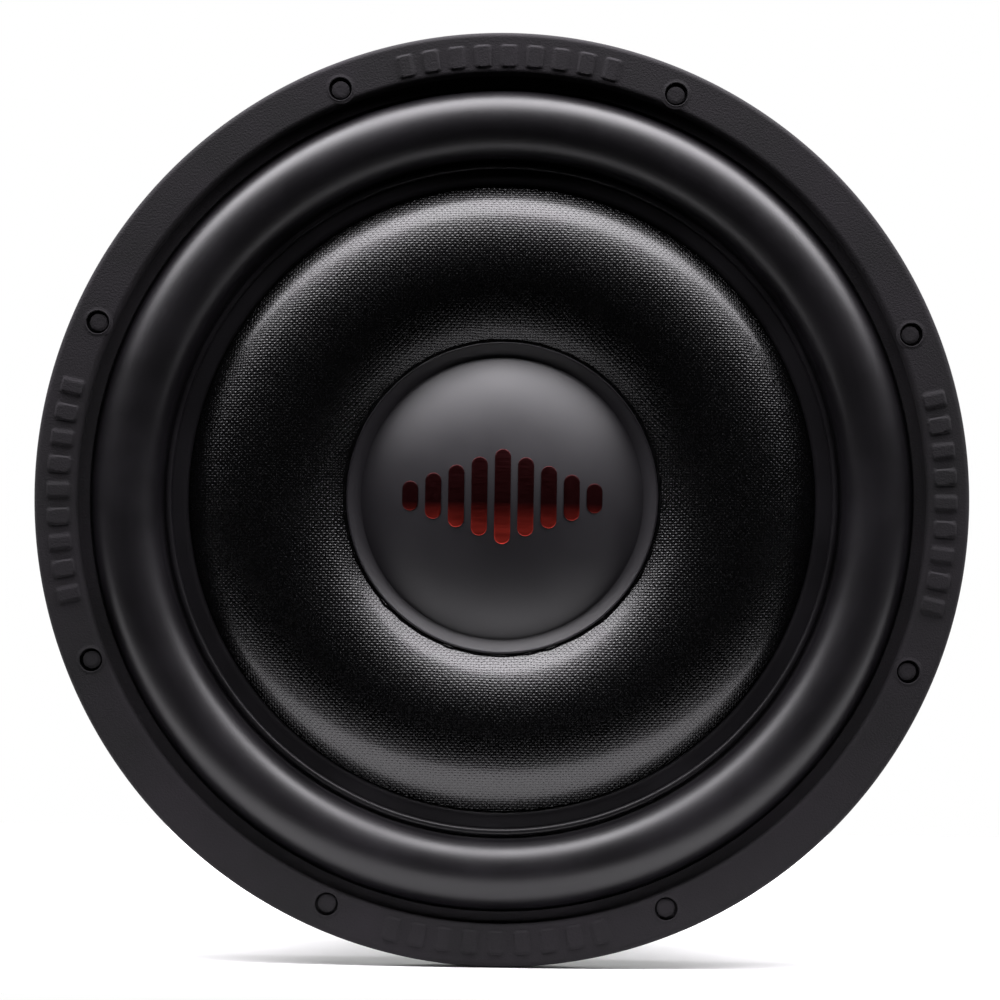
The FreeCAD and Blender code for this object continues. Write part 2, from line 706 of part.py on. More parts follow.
def make_dust_cap():
    """Dome with a glue flange that lies on the cone's straight slope."""
    foot = f"{slope_height(DOME_RADIUS)} + dim.glue_line"
    rim = f"{slope_height(CAP_RADIUS)} + dim.glue_line"
    ball = f"({DOME_RADIUS} ^ 2 + dim.dome_rise ^ 2) / (2 * dim.dome_rise)"
    apex = f"{foot} + dim.dome_rise"
    outer_ball = f"({ball} + dim.cap_thick)"
    crease = f"{apex} - {ball} + sqrt({outer_ball} ^ 2 - {DOME_RADIUS} ^ 2)"
    corners = [
        (CAP_RADIUS, rim),
        (CAP_RADIUS, f"{rim} + dim.cap_thick / cos(dim.cone_slope * 1 deg)"),
        (DOME_RADIUS, crease),
        ("0", f"{apex} + dim.cap_thick"),
        ("0", apex),
        (DOME_RADIUS, foot),
    ]
    return turned("dust_cap", corners, {2: (outer_ball, 1), 4: (ball, -1)})


def make_cap_insert():
    """Row of plain rounded bars, as on a level meter, inlaid in the face of the dome."""
    foot = f"{slope_height(DOME_RADIUS)} + dim.glue_line"
    ball = f"({DOME_RADIUS} ^ 2 + dim.dome_rise ^ 2) / (2 * dim.dome_rise)"
    centre = f"{foot} + dim.dome_rise - {ball}"
    skins = []
    for name, lift in (("foil_face", "dim.foil_proud"), ("foil_back", "0")):
        skin = doc.addObject("Part::Sphere", name)
        skin.setExpression("Radius", f"{ball} + dim.cap_thick + {lift}")
        skin.setExpression("Placement.Base.z", centre)
        skins.append(skin)
    shell = cut("foil_shell", skins[0], [skins[1]])
    bars = []
    for index in range(int(SIZES["bar_count"])):
        tall = (
            "(dim.bar_shortest + (dim.bar_tallest - dim.bar_shortest)"
            f" * (1 - abs({index} - (dim.bar_count - 1) / 2) / ((dim.bar_count - 1) / 2)))"
        )
        middle = f"({index} - (dim.bar_count - 1) / 2) * dim.bar_pitch"
        body = new_body(f"bar_{index}")
        plan = flat_sketch(body, f"bar_{index}_plan")
        left, right = f"{middle} - dim.bar_width / 2", f"{middle} + dim.bar_width / 2"
        low = f"-({tall} - dim.bar_width) / 2"
        high = f"({tall} - dim.bar_width) / 2"
        draw(plan, [(left, low), (right, low), (right, high), (left, high)],
             {edge: ("dim.bar_width / 2 + dim.arc_slack", 1) for edge in (0, 2)})
        bar = body.newObject("PartDesign::Pad", f"bar_{index}_pad")
        bar.Profile = plan
        bar.setExpression("Length", "dim.trim_front + dim.dome_rise")
        bars.append(body)
    insert = doc.addObject("Part::MultiCommon", "cap_insert")
    insert.Shapes = [shell, joined("bars", bars)]
    return insert


def make_spider(label, top):
    """Corrugated cloth suspension whose landing's upper face lies at a height."""
    start = f"({COLLAR_RADIUS} + 2 * dim.cloth_thick)"
    step = f"({SPIDER_ROLL} - {start}) / (2 * dim.wave_count)"
    path = [(COLLAR_RADIUS, f"{top} - dim.spider_neck"), (COLLAR_RADIUS, top), (start, top)]
    arcs = {}
    bend = f"(({step}) ^ 2 / 4 + dim.wave_rise ^ 2) / (2 * dim.wave_rise)"
    for wave in range(2 * int(SIZES["wave_count"])):
        arcs[len(path) - 1] = (bend, -1 if wave % 2 == 0 else 1)
        path.append((f"{start} + {wave + 1} * {step}", top))
    path.append((SPIDER_RIM, top))
    return turned_shell(label, path, "-dim.cloth_thick", arcs)


def make_yoke():
    """Back plate and centre pole in one forging, with a flared vent and a screen seat."""
    corners = [
        ("dim.vent_bore", "dim.pole_proud - dim.seat_depth"),
        (POLE_RADIUS, "dim.pole_proud - dim.seat_depth"),
        (POLE_RADIUS, f"-({MAGNET_REAR})"),
        (PLATE_RADIUS, f"-({MAGNET_REAR})"),
        (PLATE_RADIUS, f"dim.edge_break - ({BACK_FACE})"),
        (f"{PLATE_RADIUS} - dim.edge_break", f"-({BACK_FACE})"),
        ("dim.screen_radius", f"-({BACK_FACE})"),
        ("dim.screen_radius", f"dim.screen_depth - ({BACK_FACE})"),
        ("dim.screen_radius - dim.screen_ledge", f"dim.screen_depth - ({BACK_FACE})"),
        ("dim.vent_bore", f"dim.screen_depth + dim.vent_flare - ({BACK_FACE})"),
    ]
    return turned("yoke", corners)


def make_top_plate():
    """Steel plate in front of the magnets, tapped for the basket's bolts."""
    body = ring("top_plate", PLATE_BORE, PLATE_RADIUS, f"-({PLATE_REAR})",
                "-dim.seat_depth")
    plan = flat_sketch(body, "tapping_plan")
    holes(plan, "dim.seat_bolt + dim.screw_gap", SEAT_BOLT_CIRCLE)
    polar(body, [pocket_through(body, plan, "tapping")], plan, "dim.bolt_count", "tappings")
    return body


def make_boot():
    """Rubber boot stretched over both magnets and the edge of the back plate."""
    wall = f"{MAGNET_RADIUS} + dim.boot_gap"
    outer = f"{wall} + dim.boot_wall"
    corners = [
        (f"{PLATE_RADIUS} + dim.boot_gap", f"dim.boot_lip - ({PLATE_REAR})"),
        (f"{outer} - dim.boot_round", f"dim.boot_lip - ({PLATE_REAR})"),
        (outer, f"dim.boot_lip - dim.boot_round - ({PLATE_REAR})"),
        (outer, f"-({MAGNET_REAR}) - dim.boot_back"),
        (f"{outer} - dim.boot_wall", f"-({BACK_FACE})"),
        (f"{PLATE_RADIUS} + dim.boot_gap", f"-({BACK_FACE})"),
        (f"{PLATE_RADIUS} + dim.boot_gap", f"-({MAGNET_REAR}) - dim.ring_gap"),
        (wall, f"-({MAGNET_REAR}) - dim.ring_gap"),
        (wall, f"-({PLATE_REAR})"),
        (f"{PLATE_RADIUS} + dim.boot_gap", f"-({PLATE_REAR})"),
    ]
    return turned("magnet_boot", corners)


def make_vent_screen():
    """Perforated disc seated in the back of the pole vent."""
    rear = f"dim.screen_depth - ({BACK_FACE}) - dim.screen_thick"
    body = turned("vent_screen", [
        ("dim.screen_hole", rear),
        ("dim.screen_radius - dim.ring_gap", rear),
        ("dim.screen_radius - dim.ring_gap", f"dim.screen_depth - ({BACK_FACE})"),
        ("dim.screen_hole", f"dim.screen_depth - ({BACK_FACE})"),
    ])
    for circle in (1, 2, 3, 4):
        plan = flat_sketch(body, f"screen_plan_{circle}", turn=f"{9 * circle}")
        holes(plan, "dim.screen_hole", f"{circle} * dim.screen_pitch")
        hole = pocket_through(body, plan, f"screen_hole_{circle}")
        polar(body, [hole], plan, f"{6 * circle}", f"screen_holes_{circle}")
    return body


def make_seat_bolts():
    """Button-head bolts that hold the basket's seat on the top plate."""
    rods = []
    count = int(SIZES["bolt_count"])
    face = "dim.basket_wall - dim.seat_depth"
    for index in range(count):
        angle = f"{index} * 360 / dim.bolt_count * 1 deg"
        across = f"{SEAT_BOLT_CIRCLE} * cos({angle})"
        up = f"{SEAT_BOLT_CIRCLE} * sin({angle})"
        rods.append(rod(f"seat_head_{index}", "dim.seat_bolt_head", "dim.seat_bolt_head_tall",
                        (across, up, face), Vector(0, 0, 1)))
        rods.append(rod(f"seat_shank_{index}", "dim.seat_bolt",
                        "dim.basket_wall + dim.plate_thick", (across, up, face),
                        Vector(0, 0, -1)))
    return joined("seat_bolts", rods)


def make_terminal_screws():
    """Four screws that hold the two terminal blocks on the basket's lugs."""
    rods = []
    depth = f"-({LUG_FRONT} + {LUG_REAR}) / 2"
    for side in (1, -1):
        for place in (1, -1):
            base = (f"{side} * ({LUG_REACH} + dim.ear_thick)",
                    f"{place} * {SCREW_PLACE}", depth)
            name = f"{'right' if side > 0 else 'left'}_{'upper' if place > 0 else 'lower'}"
            rods.append(rod(f"screw_head_{name}", "dim.screw_head", "dim.screw_head_tall",
                            base, Vector(side, 0, 0)))
            rods.append(rod(f"screw_shank_{name}", "dim.screw_radius", "dim.screw_long",
                            base, Vector(-side, 0, 0)))
    return joined("terminal_screws", rods)


def feature(label, shape):
    """A plain feature for a swept piece."""
    thing = doc.addObject("Part::Feature", label)
    thing.Shape = shape
    thing.Label = label
    return thing


def spring_shape(side):
    """Coil spring between the floor of a button's well and the button's foot."""
    size = {name: number(f"dim.{name}") for name in SIZES}
    floor = number(LUG_REACH) + size["back_wall"] + size["spring_gap"]
    foot = (number(BOX_FACE) - size["front_wall"] - size["button_gap"]
            - size["button_foot"] - size["spring_gap"])
    wire = size["spring_wire"] / 2
    length = foot - floor - 2 * wire
    coil = Part.makeHelix(length / size["spring_turns"], length, size["spring_radius"])
    section = Part.Wire(Part.makeCircle(wire, Vector(size["spring_radius"], 0, 0),
                                        Vector(0, 1, 0)))
    spring = Part.Wire(coil.Edges).makePipeShell([section], True, True)
    spring.rotate(Vector(0, 0, 0), Vector(0, 1, 0), 90)
    spring.translate(Vector(floor + wire, side * size["button_place"], -number(BUTTON_DEPTH)))
    return spring


def rounded_path(points):
    """Straight runs joined by tangent arcs, each arc as large as its two runs allow."""
    pieces = []
    here = points[0]
    for before, corner, after in zip(points, points[1:], points[2:]):
        back, ahead = (before - corner), (after - corner)
        turn = math.pi - back.getAngle(ahead)
        reach = 0.45 * min(back.Length, ahead.Length)
        start = corner + back.normalize() * reach
        end = corner + ahead.normalize() * reach
        radius = reach / math.tan(turn / 2)
        bisector = (start + end) * 0.5 - corner
        centre = corner + bisector.normalize() * math.hypot(radius, reach)
        middle = centre + (corner - centre).normalize() * radius
        pieces += [Part.makeLine(here, start), Part.Arc(start, middle, end).toShape()]
        here = end
    pieces.append(Part.makeLine(here, points[-1]))
    return Part.Wire(pieces)


# Share of the way from the strip to the coil's collar, and share of the rise between them.
LEAD_ROUTE = [(0.0, 0.0), (0.14, 0.12), (0.32, 0.64), (0.52, 1.05), (0.72, 1.3), (0.88, 1.2),
              (1.0, 1.0)]


def lead_shape(side):
    """Braided lead that runs from a contact strip's tip to the collar under the cone."""
    place = side * number("dim.strip_place + dim.strip_wide / 2")
    start = Vector(number(f"{LUG_REACH} + dim.strip_set"), place, number(f"-{STRIP_TIP} - dim.lead_drop"))
    meet = math.sqrt(number(COLLAR_RADIUS) ** 2 - place**2) + number("dim.lead_gap")
    end = Vector(meet, place, number("-dim.collar_front - dim.lead_meet"))
    route = [
        Vector(start.x + along * (end.x - start.x), place, start.z + up * (end.z - start.z))
        for along, up in LEAD_ROUTE
    ]
    path = rounded_path(route)
    section = Part.Wire(Part.makeCircle(number("dim.lead_radius"), start, Vector(-1, 0, 0)))
    return path.makePipeShell([section], True, True)


def make_terminals():
    """Two push-terminal blocks, each with two buttons, springs, contact strips and leads."""
    made = []
    for hand, angle in (("right", 0), ("left", 180)):
        turn = Placement(Vector(0, 0, 0), Rotation(Vector(0, 0, 1), angle))
        tools = []
        placed = []
        for pole, side in (("positive", 1), ("negative", -1)):
            name = f"{hand}_{pole}"
            middle = f"{side} * dim.button_place"
            low = f"-{BUTTON_DEPTH} - dim.button_tall / 2"
            half_foot = "(dim.button_wide / 2 + dim.button_foot_step)"
            tools.append(box(
                f"well_{name}",
                (f"{LUG_REACH} + dim.back_wall",
                 f"{middle} - {half_foot} - dim.button_gap", f"{low} - dim.button_gap"),
                ("dim.box_deep - dim.back_wall - dim.front_wall",
                 f"2 * ({half_foot} + dim.button_gap)", "dim.button_tall + 2 * dim.button_gap"),
            ))
            tools.append(box(
                f"mouth_{name}",
                (f"{BOX_FACE} - dim.front_wall",
                 f"{middle} - dim.button_wide / 2 - dim.button_gap", f"{low} - dim.button_gap"),
                ("dim.front_wall", "dim.button_wide + 2 * dim.button_gap",
                 "dim.button_tall + 2 * dim.button_gap"),
            ))
            tools.append(rod(
                f"wire_hole_{name}", "dim.wire_hole",
                "dim.box_deep - dim.strip_set - dim.strip_thick",
                (BOX_FACE, middle, f"-{WIRE_DEPTH}"), Vector(-1, 0, 0),
            ))
            tools.append(rod(
                f"ear_hole_{name}", "dim.screw_radius + dim.screw_gap", "dim.ear_thick",
                (LUG_REACH, f"{side} * {SCREW_PLACE}",
                 f"-({LUG_FRONT} + {LUG_REAR}) / 2"), Vector(1, 0, 0),
            ))
            near = "dim.strip_place"
            riser = box(
                f"riser_{name}",
                (f"{LUG_REACH} + dim.strip_set",
                 near if side > 0 else f"-{near} - dim.strip_wide", f"-{STRIP_FOOT_REAR}"),
                ("dim.strip_thick", "dim.strip_wide", f"{STRIP_FOOT_REAR} - {STRIP_TIP}"),
            )
            foot = box(
                f"strip_foot_{name}",
                (f"{LUG_REACH} + dim.strip_set",
                 near if side > 0 else f"-{near} - dim.strip_foot", f"-{STRIP_FOOT_REAR}"),
                ("dim.strip_thick", "dim.strip_foot",
                 f"{STRIP_FOOT_REAR} - {STRIP_FOOT_FRONT}"),
            )
            tools += [riser, foot]
            placed.append(joined(f"contact_{name}", [riser, foot]))
            stem = box(
                f"stem_{name}",
                (f"{BOX_FACE} - dim.front_wall - dim.button_gap - dim.button_foot",
                 f"{middle} - dim.button_wide / 2", low),
                ("dim.front_wall + dim.button_gap + dim.button_foot + dim.button_proud",
                 "dim.button_wide", "dim.button_tall"),
            )
            plinth = box(
                f"plinth_{name}",
                (f"{BOX_FACE} - dim.front_wall - dim.button_gap - dim.button_foot",
                 f"{middle} - {half_foot}", low),
                ("dim.button_foot", f"2 * {half_foot}", "dim.button_tall"),
            )
            placed.append(joined(f"button_{name}", [stem, plinth]))
            placed.append(feature(f"button_spring_{name}", spring_shape(side)))
            placed.append(feature(f"tinsel_lead_{name}", lead_shape(side)))
        core = joined(f"block_core_{hand}", [
            box(f"block_{hand}", (LUG_REACH, "-dim.box_half", f"-{BOX_REAR}"),
                ("dim.box_deep", "2 * dim.box_half", f"{BOX_REAR} - {BOX_FRONT}")),
            box(f"ears_{hand}", (LUG_REACH, f"-{LUG_HALF}", f"-{LUG_REAR}"),
                ("dim.ear_thick", f"2 * {LUG_HALF}", f"{LUG_REAR} - {LUG_FRONT}")),
        ])
        placed.append(cut(f"terminal_{hand}", core, tools))
        doc.recompute()
        for piece in placed:
            piece.Placement = turn * piece.Placement
        made += placed
    return made


def make_pieces():
    """Every piece of the driver, in the order in which it is put together."""
    pieces = [
        make_basket(),
        make_trim_ring(),
        make_surround(),
        make_cone(),
        make_dust_cap(),
        make_cap_insert(),
        ring("voice_coil_former", "dim.former_bore", FORMER_RADIUS, f"-{FORMER_REAR}",
             "-dim.former_front"),
        ring("winding_inner", FORMER_RADIUS, f"{FORMER_RADIUS} + dim.layer_thick",
             f"-{COIL_REAR}", f"-{COIL_FRONT}"),
        ring("winding_outer", f"{FORMER_RADIUS} + dim.layer_thick",
             f"{FORMER_RADIUS} + 2 * dim.layer_thick", f"-{COIL_REAR}", f"-{COIL_FRONT}"),
        ring("former_collar", FORMER_RADIUS, COLLAR_RADIUS, f"-{COLLAR_REAR}",
             "-dim.collar_front"),
        make_spider("spider_rear", SPIDER_REAR_Z),
        make_spider("spider_front", SPIDER_FRONT_Z),
        ring("spider_spacer", f"{SPIDER_ROLL} + dim.spacer_step", SPIDER_RIM, SPIDER_REAR_Z,
             f"{SPIDER_FRONT_Z} - dim.cloth_thick"),
        make_top_plate(),
        ring("magnet_front", MAGNET_BORE, MAGNET_RADIUS,
             f"-({PLATE_REAR} + dim.magnet_thick)", f"-({PLATE_REAR})"),
        ring("magnet_rear", MAGNET_BORE, MAGNET_RADIUS, f"-({MAGNET_REAR})",
             f"-({PLATE_REAR} + dim.magnet_thick)"),
        make_yoke(),
        ring("shorting_ring", f"{POLE_RADIUS} + dim.ring_gap", SHORT_RING_RADIUS,
             f"-({MAGNET_REAR})", f"dim.short_ring_tall - ({MAGNET_REAR})"),
        make_vent_screen(),
        make_boot(),
        make_seat_bolts(),
        make_terminal_screws(),
    ]
    return pieces + make_terminals()


def export(pieces):
    """Turn each piece to face forward, check it and write it out."""
    doc.recompute()
    for thing in doc.Objects:
        if "Invalid" in thing.State or "Error" in thing.State:
            raise RuntimeError(f"{thing.Label} failed: {thing.State}")
    for piece in pieces:
        piece.Placement = FORWARD * piece.Placement
    doc.recompute()
    for piece in pieces:
        shape = piece.Shape
        if shape.isNull() or not shape.isValid() or not shape.Solids:
            raise RuntimeError(f"{piece.Label} has no valid solid")
        extent = shape.optimalBoundingBox(False)
        print(f"{piece.Label:34s} solids {len(shape.Solids):3d}  cm3 {shape.Volume / 1000:8.2f}"
              f"  y {extent.YMin:7.1f} {extent.YMax:7.1f}  reach {extent.XMax:6.1f}")
        shape.exportStep(f"parts/{piece.Label}.step")


export(make_pieces())
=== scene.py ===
"""Looks of a twelve-inch car subwoofer driver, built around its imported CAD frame.

The driver's axis is Y, with the cone facing -Y and +Z up. Every sub-assembly is a class that
holds its sizes in metres, builds its meshes and dresses them. Round pieces are turned from a
profile of (radius, forward) points, where forward is the distance in front of the rear face
of the mounting flange.
"""
import logging
import math
import random
from dataclasses import dataclass, field
from enum import Enum
from typing import Callable, Iterable, Sequence

import bpy
import numpy as np
from mathutils import Euler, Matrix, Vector

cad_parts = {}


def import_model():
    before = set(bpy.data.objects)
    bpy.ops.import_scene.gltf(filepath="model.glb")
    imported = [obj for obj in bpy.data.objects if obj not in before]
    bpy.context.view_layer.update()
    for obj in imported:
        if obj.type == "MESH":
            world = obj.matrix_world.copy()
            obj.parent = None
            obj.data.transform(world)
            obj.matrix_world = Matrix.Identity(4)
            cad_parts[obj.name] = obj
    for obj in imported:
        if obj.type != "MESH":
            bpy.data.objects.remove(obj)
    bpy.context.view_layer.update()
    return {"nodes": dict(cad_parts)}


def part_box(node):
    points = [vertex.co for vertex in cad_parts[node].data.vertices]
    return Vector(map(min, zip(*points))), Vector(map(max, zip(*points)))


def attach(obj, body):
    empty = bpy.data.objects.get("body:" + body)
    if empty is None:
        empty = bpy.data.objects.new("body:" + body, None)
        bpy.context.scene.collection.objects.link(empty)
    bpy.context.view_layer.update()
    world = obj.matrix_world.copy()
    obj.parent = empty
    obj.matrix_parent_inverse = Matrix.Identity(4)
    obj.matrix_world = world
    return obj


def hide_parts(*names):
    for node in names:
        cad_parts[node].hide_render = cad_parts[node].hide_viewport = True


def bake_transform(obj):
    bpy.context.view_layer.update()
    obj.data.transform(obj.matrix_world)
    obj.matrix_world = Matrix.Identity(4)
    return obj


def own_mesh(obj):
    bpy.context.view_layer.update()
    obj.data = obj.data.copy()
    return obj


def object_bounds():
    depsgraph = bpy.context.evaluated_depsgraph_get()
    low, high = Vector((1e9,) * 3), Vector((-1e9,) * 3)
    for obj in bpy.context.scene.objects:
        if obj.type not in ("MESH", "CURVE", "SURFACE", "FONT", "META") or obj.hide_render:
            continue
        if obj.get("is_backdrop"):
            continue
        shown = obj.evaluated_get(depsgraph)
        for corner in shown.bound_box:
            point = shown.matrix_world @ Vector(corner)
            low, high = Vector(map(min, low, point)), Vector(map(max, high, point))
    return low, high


LOG = logging.getLogger("subwoofer")
MM = 0.001
FRAME_BODY = "frame"
MOVING_BODY = "moving_assembly"

Profile = list[tuple[float, float]]


# ---------------------------------------------------------------------------
# Colour and node helpers
# ---------------------------------------------------------------------------
def linear(code: str) -> tuple[float, float, float, float]:
    """Turn an sRGB hex colour into linear RGBA.

    Args:
        code: six hex digits, with or without a leading hash.

    Returns:
        Linear red, green and blue, with an alpha of one.
    """
    digits = code.lstrip("#")
    parts = []
    for start in (0, 2, 4):
        value = int(digits[start:start + 2], 16) / 255
        parts.append(value / 12.92 if value <= 0.04045 else ((value + 0.055) / 1.055) ** 2.4)
    return (*parts, 1.0)


class Canvas:
    """One material's node tree, with its principled shader ready to wire."""

    def __init__(self, name: str) -> None:
        """Start an empty material.

        Args:
            name: the material's name.
        """
        self.material = bpy.data.materials.new(name)
        self.material.use_nodes = True
        self.tree = self.material.node_tree
        self.shader = self.tree.nodes["Principled BSDF"]
        coordinates = self.add("ShaderNodeTexCoord")
        self.place = coordinates.outputs["Object"]

    def add(self, kind: str, links: dict | None = None, **settings: object) -> bpy.types.Node:
        """Add a node with its settings and links.

        Args:
            kind: Blender's name for the node's type.
            links: for each input, by name or number, a socket to link or a value to set.
            settings: attributes of the node itself.

        Returns:
            The new node.
        """
        node = self.tree.nodes.new(kind)
        for key, value in settings.items():
            setattr(node, key, value)
        for key, value in (links or {}).items():
            if isinstance(value, bpy.types.NodeSocket):
                self.tree.links.new(value, node.inputs[key])
            else:
                node.inputs[key].default_value = value
        return node

    def math(self, operation: str, *values: object) -> bpy.types.NodeSocket:
        """Combine values or sockets in one Math node.

        Args:
            operation: the Math node's operation.
            values: its inputs in order.

        Returns:
            The result's socket.
        """
        links = dict(enumerate(values))
        return self.add("ShaderNodeMath", links, operation=operation).outputs[0]

    def noise(self, size: float, detail: float = 3.0, roughness: float = 0.55,
              vector: bpy.types.NodeSocket | None = None) -> bpy.types.NodeSocket:
        """Noise whose grain has a real size.

        Args:
            size: width of one grain in metres.
            detail: octaves of finer grain.
            roughness: weight of the finer octaves.
            vector: coordinates, or none for the object's own.

        Returns:
            The noise value's socket, from 0 to 1.
        """
        node = self.add("ShaderNodeTexNoise", {
            "Vector": vector or self.place, "Scale": 1 / size, "Detail": detail,
            "Roughness": roughness,
        })
        return node.outputs["Fac"]

    def between(self, value: bpy.types.NodeSocket, low: float, high: float,
                first: float = 0.0, last: float = 1.0) -> bpy.types.NodeSocket:
        """Map a value from one range to another, clamped.

        Args:
            value: the socket to map.
            low: start of its range.
            high: end of its range.
            first: result at the start.
            last: result at the end.

        Returns:
            The mapped value's socket.
        """
        node = self.add("ShaderNodeMapRange", {
            "Value": value, "From Min": low, "From Max": high, "To Min": first, "To Max": last,
        })
        return node.outputs[0]

    def tint(self, value: bpy.types.NodeSocket, dark: str, light: str) -> bpy.types.NodeSocket:
        """Mix two colours by a value.

        Args:
            value: share of the light colour.
            dark: hex colour at 0.
            light: hex colour at 1.

        Returns:
            The colour's socket.
        """
        node = self.add("ShaderNodeMix", {0: value}, data_type="RGBA")
        node.inputs[6].default_value = linear(dark)
        node.inputs[7].default_value = linear(light)
        return node.outputs[2]

    def bump(self, height: bpy.types.NodeSocket, depth: float) -> bpy.types.NodeSocket:
        """Relief of a real depth from a height of 0 to 1.

        Args:
            height: the height's socket.
            depth: metres between 0 and 1.

        Returns:
            The bent normal's socket.
        """
        relief = {"Height": height, "Distance": depth, "Strength": 1.0}
        return self.add("ShaderNodeBump", relief).outputs["Normal"]

    def axes(self) -> tuple[bpy.types.NodeSocket, bpy.types.NodeSocket, bpy.types.NodeSocket]:
        """The object's X, Y and Z as separate sockets."""
        split = self.add("ShaderNodeSeparateXYZ", {"Vector": self.place})
        return split.outputs["X"], split.outputs["Y"], split.outputs["Z"]

    def radius(self) -> bpy.types.NodeSocket:
        """Distance from the driver's axis."""
        across, _, up = self.axes()
        squares = self.math("ADD", self.math("MULTIPLY", across, across),
                            self.math("MULTIPLY", up, up))
        return self.math("SQRT", squares)

    def set(self, **values: object) -> None:
        """Set or link the principled shader's sockets.

        Args:
            values: socket names with underscores for spaces, and a value or socket for each.
        """
        for key, value in values.items():
            socket = self.shader.inputs[key.replace("_", " ")]
            if isinstance(value, bpy.types.NodeSocket):
                self.tree.links.new(value, socket)
            else:
                socket.default_value = value


# ---------------------------------------------------------------------------
# Finishes
# ---------------------------------------------------------------------------
@dataclass(frozen=True)
class MouldedFinish:
    """A moulded or cast surface: fine grain, cloudy tone and gloss that wanders slightly."""

    name: str
    dark: str
    light: str
    roughness: float
    grain: float
    grain_depth: float
    cloud: float = 30 * MM
    gloss_swing: float = 0.06
    specular: float = 0.5

    def make(self) -> bpy.types.Material:
        """Build the material.

        Returns:
            The finished material.
        """
        canvas = Canvas(self.name)
        cloud = canvas.noise(self.cloud, detail=4.0)
        grain = canvas.noise(self.grain, detail=2.0, roughness=0.7)
        tone = canvas.math("ADD", canvas.math("MULTIPLY", cloud, 0.65),
                           canvas.math("MULTIPLY", grain, 0.35))
        low, high = self.roughness - self.gloss_swing, self.roughness + self.gloss_swing
        canvas.set(
            Base_Color=canvas.tint(canvas.between(tone, 0.35, 0.65), self.dark, self.light),
            Roughness=canvas.between(tone, 0.3, 0.7, low, high),
            Specular_IOR_Level=self.specular,
            Normal=canvas.bump(grain, self.grain_depth),
        )
        return canvas.material


@dataclass(frozen=True)
class MetalFinish:
    """Bare or plated metal with turning lines about the driver's axis."""

    name: str
    dark: str
    light: str
    roughness: float
    line_pitch: float
    line_depth: float
    turned: bool = True

    def make(self) -> bpy.types.Material:
        """Build the material.

        Returns:
            The finished material.
        """
        canvas = Canvas(self.name)
        if self.turned:
            _, along, _ = canvas.axes()
            where = canvas.add("ShaderNodeCombineXYZ", {"X": canvas.radius(), "Y": along})
            lines = canvas.noise(self.line_pitch, detail=1.0, vector=where.outputs[0])
        else:
            lines = canvas.noise(self.line_pitch, detail=3.0)
        smear = canvas.noise(18 * MM, detail=4.0)
        canvas.set(
            Base_Color=canvas.tint(canvas.between(smear, 0.35, 0.65), self.dark, self.light),
            Metallic=1.0,
            Roughness=canvas.between(smear, 0.3, 0.7, self.roughness - 0.07,
                                     self.roughness + 0.07),
            Normal=canvas.bump(lines, self.line_depth),
        )
        return canvas.material


@dataclass(frozen=True)
class WovenFinish:
    """Plain weave of a real thread spacing, flat in the plane across the driver's axis."""

    name: str
    thread: str
    gap: str
    pitch: float
    depth: float
    roughness: float
    coat: float
    coat_roughness: float
    specular: float = 0.5

    def make(self) -> bpy.types.Material:
        """Build the material.

        Returns:
            The finished material, whose threads go over and under each other by turns.
        """
        canvas = Canvas(self.name)
        wander = canvas.add("ShaderNodeTexNoise", {"Vector": canvas.place, "Scale": 1 / (9 * MM),
                                                   "Detail": 1.0})
        offset = canvas.add("ShaderNodeVectorMath", {0: wander.outputs["Color"],
                                                     1: (0.5, 0.5, 0.5)}, operation="SUBTRACT")
        pulled = canvas.add("ShaderNodeVectorMath", {0: offset.outputs[0],
                                                     "Scale": self.pitch * 1.1},
                            operation="SCALE")
        moved = canvas.add("ShaderNodeVectorMath", {0: canvas.place, 1: pulled.outputs[0]},
                           operation="ADD")
        split = canvas.add("ShaderNodeSeparateXYZ", {"Vector": moved.outputs[0]})
        turn = math.pi / self.pitch
        across = canvas.math("SINE", canvas.math("MULTIPLY", split.outputs["X"], turn))
        upward = canvas.math("SINE", canvas.math("MULTIPLY", split.outputs["Z"], turn))
        weave = canvas.math("MULTIPLY", across, upward)
        # Where the product is positive a warp thread lies on top, elsewhere a weft thread.
        crown = canvas.math("ABSOLUTE", weave)
        lift = canvas.math("ADD", canvas.math("MULTIPLY", weave, 0.35),
                           canvas.math("MULTIPLY", canvas.math("SQRT", crown), 0.65))
        fuzz = canvas.noise(self.pitch * 0.45, detail=2.0)
        height = canvas.math("ADD", lift, canvas.math("MULTIPLY", fuzz, 0.35))
        canvas.set(
            Base_Color=canvas.tint(canvas.between(lift, 0.1, 0.8), self.gap, self.thread),
            Roughness=canvas.between(fuzz, 0.3, 0.7, self.roughness - 0.08,
                                     self.roughness + 0.1),
            Specular_IOR_Level=self.specular,
            Coat_Weight=self.coat,
            Coat_Roughness=self.coat_roughness,
            Normal=canvas.bump(height, self.depth),
        )
        return canvas.material


